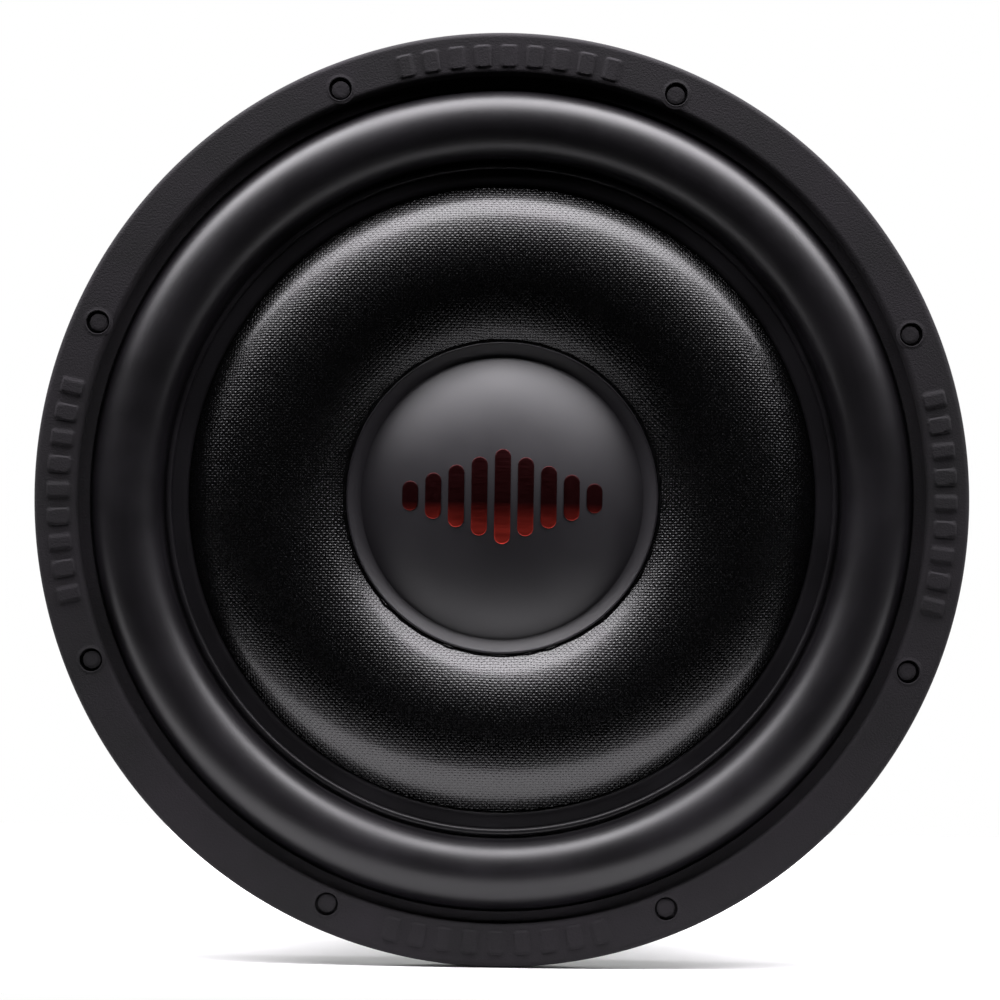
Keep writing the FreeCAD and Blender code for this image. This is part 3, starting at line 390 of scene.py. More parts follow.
@dataclass(frozen=True)
class FoilFinish:
    """Aluminium foil with a red lacquer, brushed across its width, with painted light: deep red
    painted shade at the top, bright red painted light below.
    """

    name: str = "red_lacquered_brushed_foil"
    dark: str = "280305"
    light: str = "E84A3C"
    brush_pitch: float = 0.5 * MM
    brush_depth: float = 0.004 * MM
    # Heights where the painted shade at the top and the painted light below are full.
    painted_shade_level: float = -2 * MM
    painted_light_level: float = -16 * MM

    def make(self) -> bpy.types.Material:
        """Build the material.

        Returns:
            The finished material.
        """
        canvas = Canvas(self.name)
        stretch = canvas.add("ShaderNodeVectorMath", {0: canvas.place, 1: (0.05, 1.0, 1.0)},
                             operation="MULTIPLY")
        brush = canvas.noise(self.brush_pitch, detail=3.0, vector=stretch.outputs[0])
        blotch = canvas.noise(5 * MM, detail=2.0, vector=stretch.outputs[0])
        # Painted light: the red runs from deep, painted shade at the top to bright, painted light
        # below, as if lit from beneath.
        _, _, up = canvas.axes()
        painted_light_fall = canvas.between(up, self.painted_shade_level, self.painted_light_level)
        tone = canvas.math("MULTIPLY", painted_light_fall, canvas.between(blotch, 0.35, 0.65, 0.55, 1.0))
        canvas.set(
            Base_Color=canvas.tint(tone, self.dark, self.light),
            Metallic=0.85,
            Roughness=canvas.between(brush, 0.3, 0.7, 0.3, 0.46),
            Normal=canvas.bump(brush, self.brush_depth),
        )
        return canvas.material


@dataclass(frozen=True)
class BraidFinish:
    """Cord or lead braided from fine strands, as slanted rows of beads."""

    name: str
    dark: str
    light: str
    pitch: float
    metallic: float
    roughness: float

    def make(self) -> bpy.types.Material:
        """Build the material.

        Returns:
            The finished material.
        """
        canvas = Canvas(self.name)
        across, along, up = canvas.axes()
        turn = 2 * math.pi / self.pitch
        round_place = canvas.math("MULTIPLY", up, 2.0)
        right_way = canvas.math("ADD", across, canvas.math("ADD", round_place, along))
        right = canvas.math("SINE", canvas.math("MULTIPLY", right_way, turn))
        left_way = canvas.math("SUBTRACT", across, canvas.math("SUBTRACT", round_place, along))
        left = canvas.math("SINE", canvas.math("MULTIPLY", left_way, turn))
        beads = canvas.between(canvas.math("MULTIPLY", right, left), -1.0, 1.0)
        canvas.set(
            Base_Color=canvas.tint(beads, self.dark, self.light),
            Metallic=self.metallic,
            Roughness=self.roughness,
            Normal=canvas.bump(beads, 0.12 * MM),
        )
        return canvas.material


class Finish(Enum):
    """Every finish on the driver, by its material and how its surface was made."""

    # Sand-textured black powder coat on cast aluminium: a soft grey sparkle, never a mirror.
    POWDER_COAT = MouldedFinish("black_powder_coated_cast_aluminium", "0C0C0D", "1C1C1E",
                                0.52, 0.55 * MM, 0.05 * MM)
    # Compression-moulded EPDM rubber: flat black with a faint bloom in its lows.
    TRIM_RUBBER = MouldedFinish("matt_moulded_epdm_rubber", "0F0E10", "1D1A1E",
                                0.84, 0.7 * MM, 0.2 * MM, specular=0.28)
    # Butyl rubber from a polished mould: long soft highlights with a fine orange peel.
    SURROUND_RUBBER = MouldedFinish("satin_moulded_butyl_rubber", "09080A", "110F13",
                                    0.4, 0.8 * MM, 0.006 * MM, specular=0.42)
    # Plain-weave fibre under a thick resin: glossy thread crowns over black gaps.
    WOVEN_FIBRE = WovenFinish("resin_coated_plain_weave_fibre", "030304", "010101",
                              0.93 * MM, 0.09 * MM, 0.23, 0.25, 0.15)
    # Injection-moulded polypropylene with a spark-eroded satin: dark grey, broad glow.
    DOME_POLYMER = MouldedFinish("satin_moulded_polypropylene", "161418", "1C1A1E",
                                 0.46, 0.35 * MM, 0.006 * MM, specular=0.7)
    RED_FOIL = FoilFinish()
    # Hot-melt and contact cement: wet black beads that catch points of light.
    GLUE = MouldedFinish("cured_black_contact_cement", "030303", "0A0A0B",
                         0.18, 1.6 * MM, 0.25 * MM, specular=0.7)
    # Rolled aluminium sheet, bright along the roll.
    ALUMINIUM = MetalFinish("rolled_aluminium_sheet", "A9ABB0", "C9CBCF", 0.3,
                            0.6 * MM, 0.004 * MM)
    # Enamelled copper wire, deep orange under clear varnish.
    COPPER_WIRE = MetalFinish("enamelled_copper_wire", "8A3F1C", "C26A34", 0.28,
                              0.8 * MM, 0.004 * MM, turned=False)
    # Varnished kraft paper: warm brown, a little glossy.
    KRAFT = MouldedFinish("varnished_kraft_paper", "6B4A2C", "8C6540", 0.48,
                          0.9 * MM, 0.02 * MM)
    # Resin-dipped cotton and aramid cloth: tan, open weave, a dull gloss.
    SPIDER_CLOTH = WovenFinish("resin_dipped_cotton_aramid_cloth", "B88A4B", "6A4820",
                               0.8 * MM, 0.16 * MM, 0.6, 0.1, 0.4)
    # Glass-filled nylon from a textured mould.
    NYLON = MouldedFinish("black_glass_filled_nylon", "0F1011", "1B1C1E", 0.46,
                          0.5 * MM, 0.02 * MM)
    # Bright zinc on turned mild steel.
    ZINC_STEEL = MetalFinish("zinc_plated_turned_steel", "8E949C", "B9BFC6", 0.3,
                             0.5 * MM, 0.008 * MM)
    # Black passivated steel, as on socket screws.
    BLACK_STEEL = MetalFinish("black_passivated_steel", "1C1D20", "303237", 0.38,
                              0.5 * MM, 0.01 * MM, turned=False)
    # Sintered ferrite, ground flat: charcoal grey with a fine grain.
    FERRITE = MouldedFinish("ground_sintered_ferrite", "26272A", "3A3B3E", 0.5,
                            0.7 * MM, 0.03 * MM)
    # Dipped rubber boot, smooth and slightly oily.
    BOOT_RUBBER = MouldedFinish("satin_dipped_rubber", "0B0B0C", "161617", 0.42,
                                0.9 * MM, 0.02 * MM)
    BUTTON_RED = MouldedFinish("red_moulded_abs", "8E1210", "A81916", 0.3, 0.8 * MM, 0.004 * MM)
    BUTTON_BLACK = MouldedFinish("black_moulded_abs", "101011", "18181A", 0.3,
                                 0.8 * MM, 0.004 * MM)
    # Drawn music wire, bright along its length.
    SPRING_STEEL = MetalFinish("drawn_spring_steel", "9A9CA2", "C4C6CB", 0.25,
                               0.3 * MM, 0.004 * MM, turned=False)
    # Stamped brass, dulled by handling.
    BRASS = MetalFinish("stamped_tarnished_brass", "8F6E2E", "C79F4F", 0.34,
                        0.6 * MM, 0.006 * MM, turned=False)
    # Tinned copper tinsel braided over cotton.
    TINSEL = BraidFinish("tinned_copper_tinsel_braid", "5C4636", "D9B59A", 0.9 * MM, 0.8, 0.4)

    def material(self) -> bpy.types.Material:
        """The material of this finish, made once and shared."""
        found = bpy.data.materials.get(self.value.name)
        return found or self.value.make()


# ---------------------------------------------------------------------------
# Mesh helpers
# ---------------------------------------------------------------------------
def arc(centre: tuple[float, float], radius: float, start: float, end: float,
        steps: int) -> Profile:
    """Points along an arc in the (radius, forward) plane.

    Args:
        centre: the arc's centre.
        radius: the arc's radius.
        start: first angle in degrees, from the outward direction towards the front.
        end: last angle in degrees.
        steps: number of spans.

    Returns:
        steps + 1 points, ends included.
    """
    points = []
    for index in range(steps + 1):
        angle = math.radians(start + (end - start) * index / steps)
        points.append((centre[0] + radius * math.cos(angle),
                       centre[1] + radius * math.sin(angle)))
    return points


def run(first: tuple[float, float], last: tuple[float, float], steps: int) -> Profile:
    """Evenly spaced points between two places, without the last.

    Args:
        first: where the run starts.
        last: where it ends.
        steps: number of spans.

    Returns:
        The points from first up to, but without, last.
    """
    return [(first[0] + (last[0] - first[0]) * index / steps,
             first[1] + (last[1] - first[1]) * index / steps) for index in range(steps)]


def offset_line(line: Profile, gap: float) -> Profile:
    """Shift a profile line backwards along its normals.

    Args:
        line: points from the rim inwards.
        gap: distance to shift.

    Returns:
        The shifted points.
    """
    shifted = []
    for index, (radius, forward) in enumerate(line):
        before = line[max(index - 1, 0)]
        after = line[min(index + 1, len(line) - 1)]
        across, up = after[0] - before[0], after[1] - before[1]
        length = math.hypot(across, up)
        shifted.append((radius - up / length * gap, forward + across / length * gap))
    return shifted


def mesh_object(name: str, points: Iterable[Sequence[float]], faces: Iterable[Sequence[int]],
                sharp: float = 40.0) -> bpy.types.Object:
    """Make a smooth-shaded mesh object whose corners over an angle stay crisp.

    Args:
        name: the piece's name.
        points: vertex places in metres.
        faces: vertex numbers of each face.
        sharp: the angle in degrees over which an edge is crisp.

    Returns:
        The new object, linked to the scene.
    """
    mesh = bpy.data.meshes.new(name)
    mesh.from_pydata([tuple(p) for p in points], [], [tuple(f) for f in faces])
    mesh.validate()
    mesh.shade_smooth()
    mesh.set_sharp_from_angle(angle=math.radians(sharp))
    thing = bpy.data.objects.new(name, mesh)
    bpy.context.scene.collection.objects.link(thing)
    return thing


def lathe(name: str, profile: Profile, segments: int = 360,
          shape: Callable[[float, float, float], tuple[float, float]] | None = None,
          sharp: float = 40.0) -> bpy.types.Object:
    """Turn a profile, whose last point joins its first, about the driver's axis.

    Args:
        name: the piece's name.
        profile: (radius, forward) points, counter-clockwise with outward to the right.
        segments: number of spans around the axis.
        shape: optional change of each point, from (radius, forward, angle).
        sharp: the angle in degrees over which an edge is crisp.

    Returns:
        The new object.
    """
    points: list[tuple[float, float, float]] = []
    rows: list[list[int]] = []
    for radius, forward in profile:
        if radius < 1e-7:
            rows.append([len(points)] * segments)
            points.append((0.0, -forward, 0.0))
            continue
        row = []
        for index in range(segments):
            angle = 2 * math.pi * index / segments
            here, front = shape(radius, forward, angle) if shape else (radius, forward)
            row.append(len(points))
            points.append((here * math.cos(angle), -front, here * math.sin(angle)))
        rows.append(row)
    faces = []
    for one, other in zip(rows, rows[1:] + rows[:1]):
        for index in range(segments):
            after = (index + 1) % segments
            ring = [one[index], one[after], other[after], other[index]]
            face = list(dict.fromkeys(ring))
            if len(face) > 2:
                faces.append(face)
    return mesh_object(name, points, faces, sharp)


def tube(name: str, path: Sequence[Vector], radius: float, sides: int = 12,
         ring: bool = False) -> bpy.types.Object:
    """Sweep a round section along a path.

    Args:
        name: the piece's name.
        path: centreline points.
        radius: the section's radius.
        sides: corners of the section.
        ring: whether the path closes on itself.

    Returns:
        The new object, with flat ends where it is open.
    """
    points, faces = [], []
    count = len(path)
    normal = None
    for index, here in enumerate(path):
        before = path[index - 1] if index or ring else path[0]
        after = path[(index + 1) % count] if index < count - 1 or ring else path[-1]
        along = (after - before).normalized()
        if normal is None:
            normal = along.orthogonal().normalized()
        normal = (normal - along * normal.dot(along)).normalized()
        side = along.cross(normal)
        for corner in range(sides):
            angle = 2 * math.pi * corner / sides
            points.append(here + (normal * math.cos(angle) + side * math.sin(angle)) * radius)
    for index in range(count if ring else count - 1):
        one, other = index * sides, ((index + 1) % count) * sides
        for corner in range(sides):
            after = (corner + 1) % sides
            faces.append((one + corner, one + after, other + after, other + corner))
    if not ring:
        faces.append(tuple(range(sides - 1, -1, -1)))
        faces.append(tuple(range((count - 1) * sides, count * sides)))
    return mesh_object(name, points, faces)


def rounded_box(name: str, low: Vector, high: Vector, radius: float,
                steps: int = 3) -> bpy.types.Object:
    """A box with rounded edges.

    Args:
        name: the piece's name.
        low: its lowest corner.
        high: its highest corner.
        radius: the edges' radius.
        steps: spans across each rounded edge.

    Returns:
        The new object.
    """
    corners = [(x, y, z) for x in (low.x, high.x) for y in (low.y, high.y)
               for z in (low.z, high.z)]
    faces = [(0, 1, 3, 2), (4, 6, 7, 5), (0, 4, 5, 1), (2, 3, 7, 6), (0, 2, 6, 4), (1, 5, 7, 3)]
    thing = mesh_object(name, corners, faces, sharp=80.0)
    bevel = thing.modifiers.new("rounded", "BEVEL")
    bevel.width = radius
    bevel.segments = steps
    apply_modifiers(thing)
    return thing


def apply_modifiers(thing: bpy.types.Object) -> None:
    """Turn an object's modifiers into mesh.

    Args:
        thing: the object to change.
    """
    bpy.context.view_layer.update()
    graph = bpy.context.evaluated_depsgraph_get()
    mesh = bpy.data.meshes.new_from_object(thing.evaluated_get(graph))
    thing.modifiers.clear()
    thing.data = mesh


def joined(name: str, things: list[bpy.types.Object]) -> bpy.types.Object:
    """Join several meshes into one object.

    Args:
        name: the joined object's name.
        things: the objects to join, at least one.

    Returns:
        The joined object.
    """
    points: list[Vector] = []
    faces: list[tuple[int, ...]] = []
    for thing in things:
        offset = len(points)
        points += [v.co.copy() for v in thing.data.vertices]
        faces += [tuple(offset + v for v in polygon.vertices) for polygon in thing.data.polygons]
        bpy.data.objects.remove(thing)
    return mesh_object(name, points, faces)


def dress(thing: bpy.types.Object, finish: Finish) -> None:
    """Give an object one finish all over.

    Args:
        thing: the object.
        finish: its finish.
    """
    thing.data.materials.clear()
    thing.data.materials.append(finish.material())
    for polygon in thing.data.polygons:
        polygon.material_index = 0


def soften(thing: bpy.types.Object) -> None:
    """Read the places of a round suspension's points; nothing is set from them.

    Args:
        thing: a round suspension's mesh.
    """
    count = len(thing.data.vertices)
    places = np.zeros(count * 3)
    thing.data.vertices.foreach_get("co", places)
    places = places.reshape(-1, 3)


def suspend(thing: bpy.types.Object) -> None:
    """Bake a round suspension's placement into its mesh and read its points.

    Args:
        thing: the suspension's mesh.
    """
    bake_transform(thing)
    soften(thing)


# ---------------------------------------------------------------------------
# Sub-assemblies
# ---------------------------------------------------------------------------
@dataclass
class TrimRing:
    """Moulded rubber ring over the flange, with screw wells and rows of raised blocks."""

    edge_round: float = 1.8 * MM
    inner_round: float = 1.8 * MM
    band: float = 14.4 * MM
    lip_reach: float = 4.0 * MM
    lip_front: float = 8.2 * MM
    lip_back: float = 6.4 * MM
    lip_root: float = 0.5 * MM
    lip_round: float = 0.6 * MM
    lip_ease: float = 0.15 * MM
    skirt_wall: float = 0.8 * MM
    bolt_inset: float = 9.0 * MM
    well_mouth: float = 3.9 * MM
    well_floor: float = 3.05 * MM
    well_depth: float = 1.8 * MM
    well_rim: float = 0.5 * MM
    well_lip: float = 0.16 * MM
    well_land: float = 5.0 * MM
    well_pit: float = 4.2 * MM
    well_skin: float = 0.03 * MM
    well_shoulder: float = 0.25 * MM
    plug_inset: float = 0.45 * MM
    plug_depth: float = 0.35 * MM
    plug_round: float = 0.2 * MM
    cup_sides: int = 72
    well_count: int = 8
    block_proud: float = 0.6 * MM
    block_inset: float = 4.2 * MM
    block_long: float = 8.0 * MM
    block_wide: float = 5.6 * MM
    block_count: int = 9
    block_arc: float = 27.0
    block_corner: float = 1.2 * MM
    block_slope: float = 0.55 * MM
    face_pitch: float = 0.34 * MM
    segments: int = 1440

    def build(self) -> bpy.types.Object:
        """Build the ring in place of its CAD node.

        Returns:
            The ring, with its well cups.
        """
        low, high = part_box("gasket_ring")
        outer = high.x
        front = -low.y - self.block_proud
        skirt = -high.y
        bore = outer - self.band
        lip = bore - self.lip_reach
        well_ring = outer - self.bolt_inset
        face = self._face_radii(bore + self.inner_round, outer - self.edge_round)
        profile: Profile = [(outer, skirt)]
        profile += run((outer, skirt + self.skirt_wall), (outer, front - self.edge_round), 5)
        profile += arc((outer - self.edge_round, front - self.edge_round), self.edge_round,
                       0, 90, 8)[:-1]
        profile += [(radius, front) for radius in face]
        profile += arc((bore + self.inner_round, front - self.inner_round), self.inner_round,
                       90, 180, 5)[1:]
        profile += [(bore, self.lip_front + self.lip_root)]
        profile += [(bore - self.lip_ease, self.lip_front + self.lip_ease)]
        profile += run((bore - self.lip_round, self.lip_front),
                       (lip + self.lip_root, self.lip_front), 3)
        profile += [(lip + self.lip_ease, self.lip_front - self.lip_ease)]
        profile += [(lip, self.lip_front - self.lip_round), (lip, self.lip_back)]
        grid = lathe("ring_grid", profile, self.segments,
                     shape=lambda r, f, a: self._relief(r, f, a, front, well_ring, outer),
                     sharp=50.0)
        step = 2 * math.pi / self.well_count
        cups = [self._cup(index * step + step / 2, well_ring, front)
                for index in range(self.well_count)]
        ring = joined("trim_ring", [grid] + cups)
        dress(ring, Finish.TRIM_RUBBER)
        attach(ring, FRAME_BODY)
        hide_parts("gasket_ring")
        return ring

    def _face_radii(self, inner: float, outer: float) -> list[float]:
        """Radii of the front face's evenly spaced rows.

        Args:
            inner: the face's inner edge.
            outer: the face's outer edge.

        Returns:
            Radii from the outer edge to the inner edge.
        """
        count = max(2, round((outer - inner) / self.face_pitch))
        return [outer + (inner - outer) * index / count for index in range(count + 1)]

    def _relief(self, radius: float, forward: float, angle: float, front: float,
                well_ring: float, outer: float) -> tuple[float, float]:
        """Height of the front face at a place, with its wells and raised blocks.

        Args:
            radius: the point's radius.
            forward: the point's forward place on the plain ring.
            angle: the point's angle in radians.
            front: the front face's forward place.
            well_ring: radius of the wells' circle.
            outer: the ring's outer radius.

        Returns:
            The point's radius and forward place.
        """
        if abs(forward - front) > 1e-7:
            return radius, forward
        step = 2 * math.pi / self.well_count
        near = angle % step - step / 2
        across = radius * math.sin(near)
        along = radius * math.cos(near) - well_ring
        away = math.hypot(across, along)
        if away < self.well_pit:
            return radius, front - self.well_depth - self.well_rim
        return radius, front + self._block(radius, angle, outer)

    def _cup(self, angle: float, well_ring: float, front: float) -> bpy.types.Object:
        """One well: a thin lip, a narrow dark gap and the plug that sits in it.

        Args:
            angle: the well's angle about the driver's axis in radians.
            well_ring: radius of the wells' circle.
            front: the ring's front face.

        Returns:
            The cup.
        """
        mouth, plug, skin = self.well_mouth, self.well_floor, self.well_skin
        # Each row is its distance from the well's middle, its height and its share of the inset.
        rows = [(self.well_land + 0.2 * MM, -skin, 0.0), (self.well_land, skin, 0.0),
                (mouth + self.well_rim, skin, 0.0),
                (mouth + self.well_shoulder, self.well_lip, 0.0),
                (mouth, self.well_lip * 0.6, 0.0), (mouth - 0.1 * MM, -self.well_depth, 0.0),
                (plug + 0.05 * MM, -self.well_depth, 1.0),
                (plug, -self.plug_depth - 0.15 * MM, 1.0),
                (plug - self.plug_round, -self.plug_depth, 1.0),
                (plug * 0.5, -self.plug_depth, 1.0)]
        count = self.cup_sides
        points, faces = [], []
        for size, lift, inward in rows:
            for index in range(count):
                turn = 2 * math.pi * index / count
                along = well_ring + size * math.cos(turn) - inward * self.plug_inset
                across = size * math.sin(turn)
                points.append((along * math.cos(angle) - across * math.sin(angle),
                               -(front + lift),
                               along * math.sin(angle) + across * math.cos(angle)))
        for row in range(len(rows) - 1):
            for index in range(count):
                after = (index + 1) % count
                faces.append((row * count + index, row * count + after,
                              (row + 1) * count + after, (row + 1) * count + index))
        faces.append(tuple((len(rows) - 1) * count + index for index in range(count)))
        return mesh_object("well_cup", points, faces, sharp=50.0)

    def _block(self, radius: float, angle: float, outer: float) -> float:
        """Height of the raised blocks at a place.

        Args:
            radius: the point's radius.
            angle: its angle in radians.
            outer: the ring's outer radius.

        Returns:
            Height over the front face.
        """
        middle = outer - self.block_inset - self.block_long / 2
        quarter = math.pi / 2
        near = (angle + quarter / 2) % quarter - quarter / 2
        pitch = math.radians(self.block_arc / (self.block_count - 1))
        limit = (self.block_count - 1) / 2
        index = max(-limit, min(limit, round(near / pitch + limit) - limit))
        turned = near - index * pitch
        across = abs(radius * math.sin(turned)) - self.block_wide / 2
        along = abs(radius * math.cos(turned) - middle) - self.block_long / 2
        corner = self.block_corner
        outside = math.hypot(max(across + corner, 0), max(along + corner, 0)) - corner
        inside = min(max(across, along), 0.0)
        distance = outside if outside > -corner else inside
        share = max(0.0, min(1.0, -distance / self.block_slope))
        return self.block_proud * share * share * (3 - 2 * share)


@dataclass
class Surround:
    """Half-roll rubber surround with a rounded inner land, a bead and a drip edge."""

    thickness: float = 1.4 * MM
    foot: float = 5.0 * MM
    rise: float = 10.1 * MM
    roll_outer: float = 139.0 * MM
    roll_inner: float = 115.6 * MM
    bead_inset: float = 6.8 * MM
    bead_size: float = 1.3 * MM
    inner_edge: float = 106.4 * MM
    toe: float = 1.6 * MM
    toe_swell: float = 0.45
    toe_reach: float = 4.0 * MM
    bead_gap: float = 0.4 * MM

    def build(self) -> bpy.types.Object:
        """Build the surround in place of its CAD node.

        Returns:
            The surround.
        """
        _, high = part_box("surround")
        rim = high.x
        profile = self._front(rim, self.foot + self.thickness) + self._back(rim, self.foot)
        piece = lathe("roll_surround", profile, 480, sharp=60.0)
        dress(piece, Finish.SURROUND_RUBBER)
        suspend(piece)
        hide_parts("surround")
        return piece

    def _roll(self, width: float, rise: float, base: float, steps: int) -> Profile:
        """The half roll as one arc over a width, from its outer foot to its inner foot.

        Args:
            width: distance between the feet.
            rise: height over the feet.
            base: forward place of the feet.
            steps: number of spans.

        Returns:
            Points of the roll.
        """
        middle = (self.roll_outer + self.roll_inner) / 2
        radius = (width * width / 4 + rise * rise) / (2 * rise)
        half = math.degrees(math.asin(min(1.0, width / 2 / radius)))
        if rise > radius:
            half = 180 - half
        return arc((middle, base + rise - radius), radius, 90 - half, 90 + half, steps)

    def _front(self, rim: float, top: float) -> Profile:
        """Front side, from the rim inwards to the edge that lies on the cone.

        Args:
            rim: outer radius under the trim ring.
            top: forward place of the flat lands' front.

        Returns:
            Profile points.
        """
        bead = self.inner_edge + self.bead_inset
        points = [(rim, top)]
        points += self._filleted(self._roll(self.roll_outer - self.roll_inner, self.rise, top, 56))
        points += arc((bead, top), self.bead_size, 0, 180, 10)
        # The land thins over its last 0.9 mm to an edge half as thick.
        points += run((bead - self.bead_size - self.bead_gap, top),
                      (self.inner_edge + 0.9 * MM, top), 4)
        points += [(self.inner_edge + 0.6 * MM, top - 0.1 * MM),
                   (self.inner_edge, top - 0.7 * MM)]
        return points

    def _filleted(self, roll: Profile) -> Profile:
        """Round the two feet of the roll into the flat lands.

        Args:
            roll: the roll's own arc.

        Returns:
            The arc with a few blended points at each foot.
        """
        base = roll[0][1]
        points = []
        for radius, forward in roll:
            near = min(self.roll_outer - radius, radius - self.roll_inner)
            lift = forward - base
            blend = min(1.0, max(0.0, lift / self.toe))
            out = (1 - blend) ** 2 * self.toe_swell * self.toe
            sign = 1 if radius > (self.roll_outer + self.roll_inner) / 2 else -1
            points.append((radius + sign * out if near < self.toe_reach else radius, forward))
        return points

    def _back(self, rim: float, under: float) -> Profile:
        """Back side, from the cone's edge outwards to the rim.

        Args:
            rim: outer radius under the trim ring.
            under: forward place of the flat lands' back.

        Returns:
            Profile points.
        """
        width = self.roll_outer - self.roll_inner - 2 * self.thickness
        roll = self._roll(width, self.rise, under, 40)
        return [(self.inner_edge, under)] + roll[::-1] + [(rim, under)]


@dataclass
class ConeAssembly:
    """Woven cone, dust cap with its inlaid bars, and the glue seam between them."""

    crest_radius: float = 80.0 * MM
    crest: float = 14.9 * MM
    crown_run: float = 26.4 * MM
    foot: float = 5.0 * MM
    slope: float = 35.0
    rim: float = 114.0 * MM
    neck_end: float = -17.0 * MM
    former: float = 38.6 * MM
    thickness: float = 1.2 * MM
    cap_radius: float = 53.0 * MM
    dome_radius: float = 48.0 * MM
    dome_rise: float = 14.5 * MM
    cap_thick: float = 1.0 * MM
    glue_line: float = 0.15 * MM
    bar_count: int = 9
    bar_pitch: float = 7.8 * MM
    bar_width: float = 5.4 * MM
    bar_tallest: float = 32.0 * MM
    bar_shortest: float = 10.0 * MM
    bar_step: float = 1.2 * MM
    foil_proud: float = 0.3 * MM
    foil_round: float = 0.3 * MM
    foil_drop: float = 0.12 * MM
    cap_soft: float = 0.35 * MM
    seam_reach: float = 1.15 * MM
    seam_reach_swing: float = 1.1 * MM
    seam_tall: float = 0.55 * MM
    seam_tall_swing: float = 0.5 * MM
    seam_waves: int = 14
    bead_size: float = 0.34 * MM
    bead_lift: float = 0.35 * MM
    bead_waver: float = 0.03 * MM

    @property
    def crown_radius(self) -> float:
        """Radius of the round crown in section."""
        rise = self.crest - self.foot
        return (self.crown_run ** 2 + rise ** 2) / (2 * rise)

    @property
    def ball(self) -> float:
        """Radius of the dome's inner sphere."""
        return (self.dome_radius ** 2 + self.dome_rise ** 2) / (2 * self.dome_rise)

    def slope_top(self) -> tuple[float, float]:
        """Where the straight inner slope meets the crown."""
        turn = math.radians(self.slope)
        return (self.crest_radius - self.crown_radius * math.sin(turn),
                self.crest - self.crown_radius * (1 - math.cos(turn)))

    def slope_height(self, radius: float) -> float:
        """Forward place of the straight inner slope at a radius.

        Args:
            radius: distance from the axis.

        Returns:
            The slope's forward place there.
        """
        top_radius, top = self.slope_top()
        return top - (top_radius - radius) * math.tan(math.radians(self.slope))

    def surface_height(self, radius: float) -> float:
        """Forward place of the cone's face at any radius between its neck and its edge.

        Args:
            radius: distance from the axis.

        Returns:
            The face's forward place there.
        """
        if radius < self.slope_top()[0]:
            return self.slope_height(radius)
        edge = self.crest_radius + self.crown_run
        if radius > edge:
            return self.foot
        away = radius - self.crest_radius
        return self.crest - self.crown_radius + math.sqrt(self.crown_radius ** 2 - away ** 2)

    def build(self) -> list[bpy.types.Object]:
        """Build every piece that moves with the cone's face.

        Returns:
            The pieces.
        """
        return [self._cone(), self._cap(), self._seam(), self._bars(), self._edge_bead()]

    def _cone(self) -> bpy.types.Object:
        """The woven cone, with its neck, crown and flat rim."""
        edge = self.crest_radius + self.crown_run
        front = [(self.rim, self.foot)]
        steps = 90
        for index in range(steps + 1):
            radius = edge + (self.former - edge) * index / steps
            front.append((radius, self.surface_height(radius)))
        front += run((self.former, self.slope_height(self.former) - 1 * MM),
                     (self.former, self.neck_end), 4)
        front.append((self.former, self.neck_end))
        back = offset_line(front, self.thickness)
        cone = lathe("woven_cone", front + back[::-1], 360, sharp=70.0)
        dress(cone, Finish.WOVEN_FIBRE)
        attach(cone, MOVING_BODY)
        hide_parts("cone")
        return cone

    def _cap(self) -> bpy.types.Object:
        """The dust cap: glue flange, crease and dome."""
        foot = self.slope_height(self.dome_radius) + self.glue_line
        rim = self.slope_height(self.cap_radius) + self.glue_line
        apex = foot + self.dome_rise
        outer_ball = self.ball + self.cap_thick
        centre = (0.0, apex - self.ball)
        crease = centre[1] + math.sqrt(outer_ball ** 2 - self.dome_radius ** 2)
        lift = self.cap_thick / math.cos(math.radians(self.slope))
        start = math.degrees(math.acos(self.dome_radius / outer_ball))
        inner_start = math.degrees(math.acos(self.dome_radius / self.ball))
        soft = self.cap_soft
        front = [(self.cap_radius, rim), (self.cap_radius, rim + lift - soft),
                 (self.cap_radius - soft, rim + lift - 0.2 * soft)]
        front += run((self.cap_radius - 2 * soft, rim + lift - 2 * soft),
                     (self.dome_radius + 2 * soft, crease + 2 * soft), 3)
        front += [(self.dome_radius + soft, crease + 0.5 * soft),
                  (self.dome_radius + 0.2 * soft, crease)]
        dome = arc(centre, outer_ball, start, 90, 64)
        back = arc(centre, self.ball, 90, inner_start, 40)
        profile = front + dome[1:-1] + [(0.0, centre[1] + outer_ball), (0.0, apex)] + back[1:]
        cap = lathe("dome_cap", profile, 288, sharp=28.0)
        dress(cap, Finish.DOME_POLYMER)
        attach(cap, MOVING_BODY)
        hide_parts("dust_cap")
        return cap

    def _seam(self) -> bpy.types.Object:
        """Uneven bead of cement squeezed out around the dust cap's edge."""
        draw = random.Random(7)
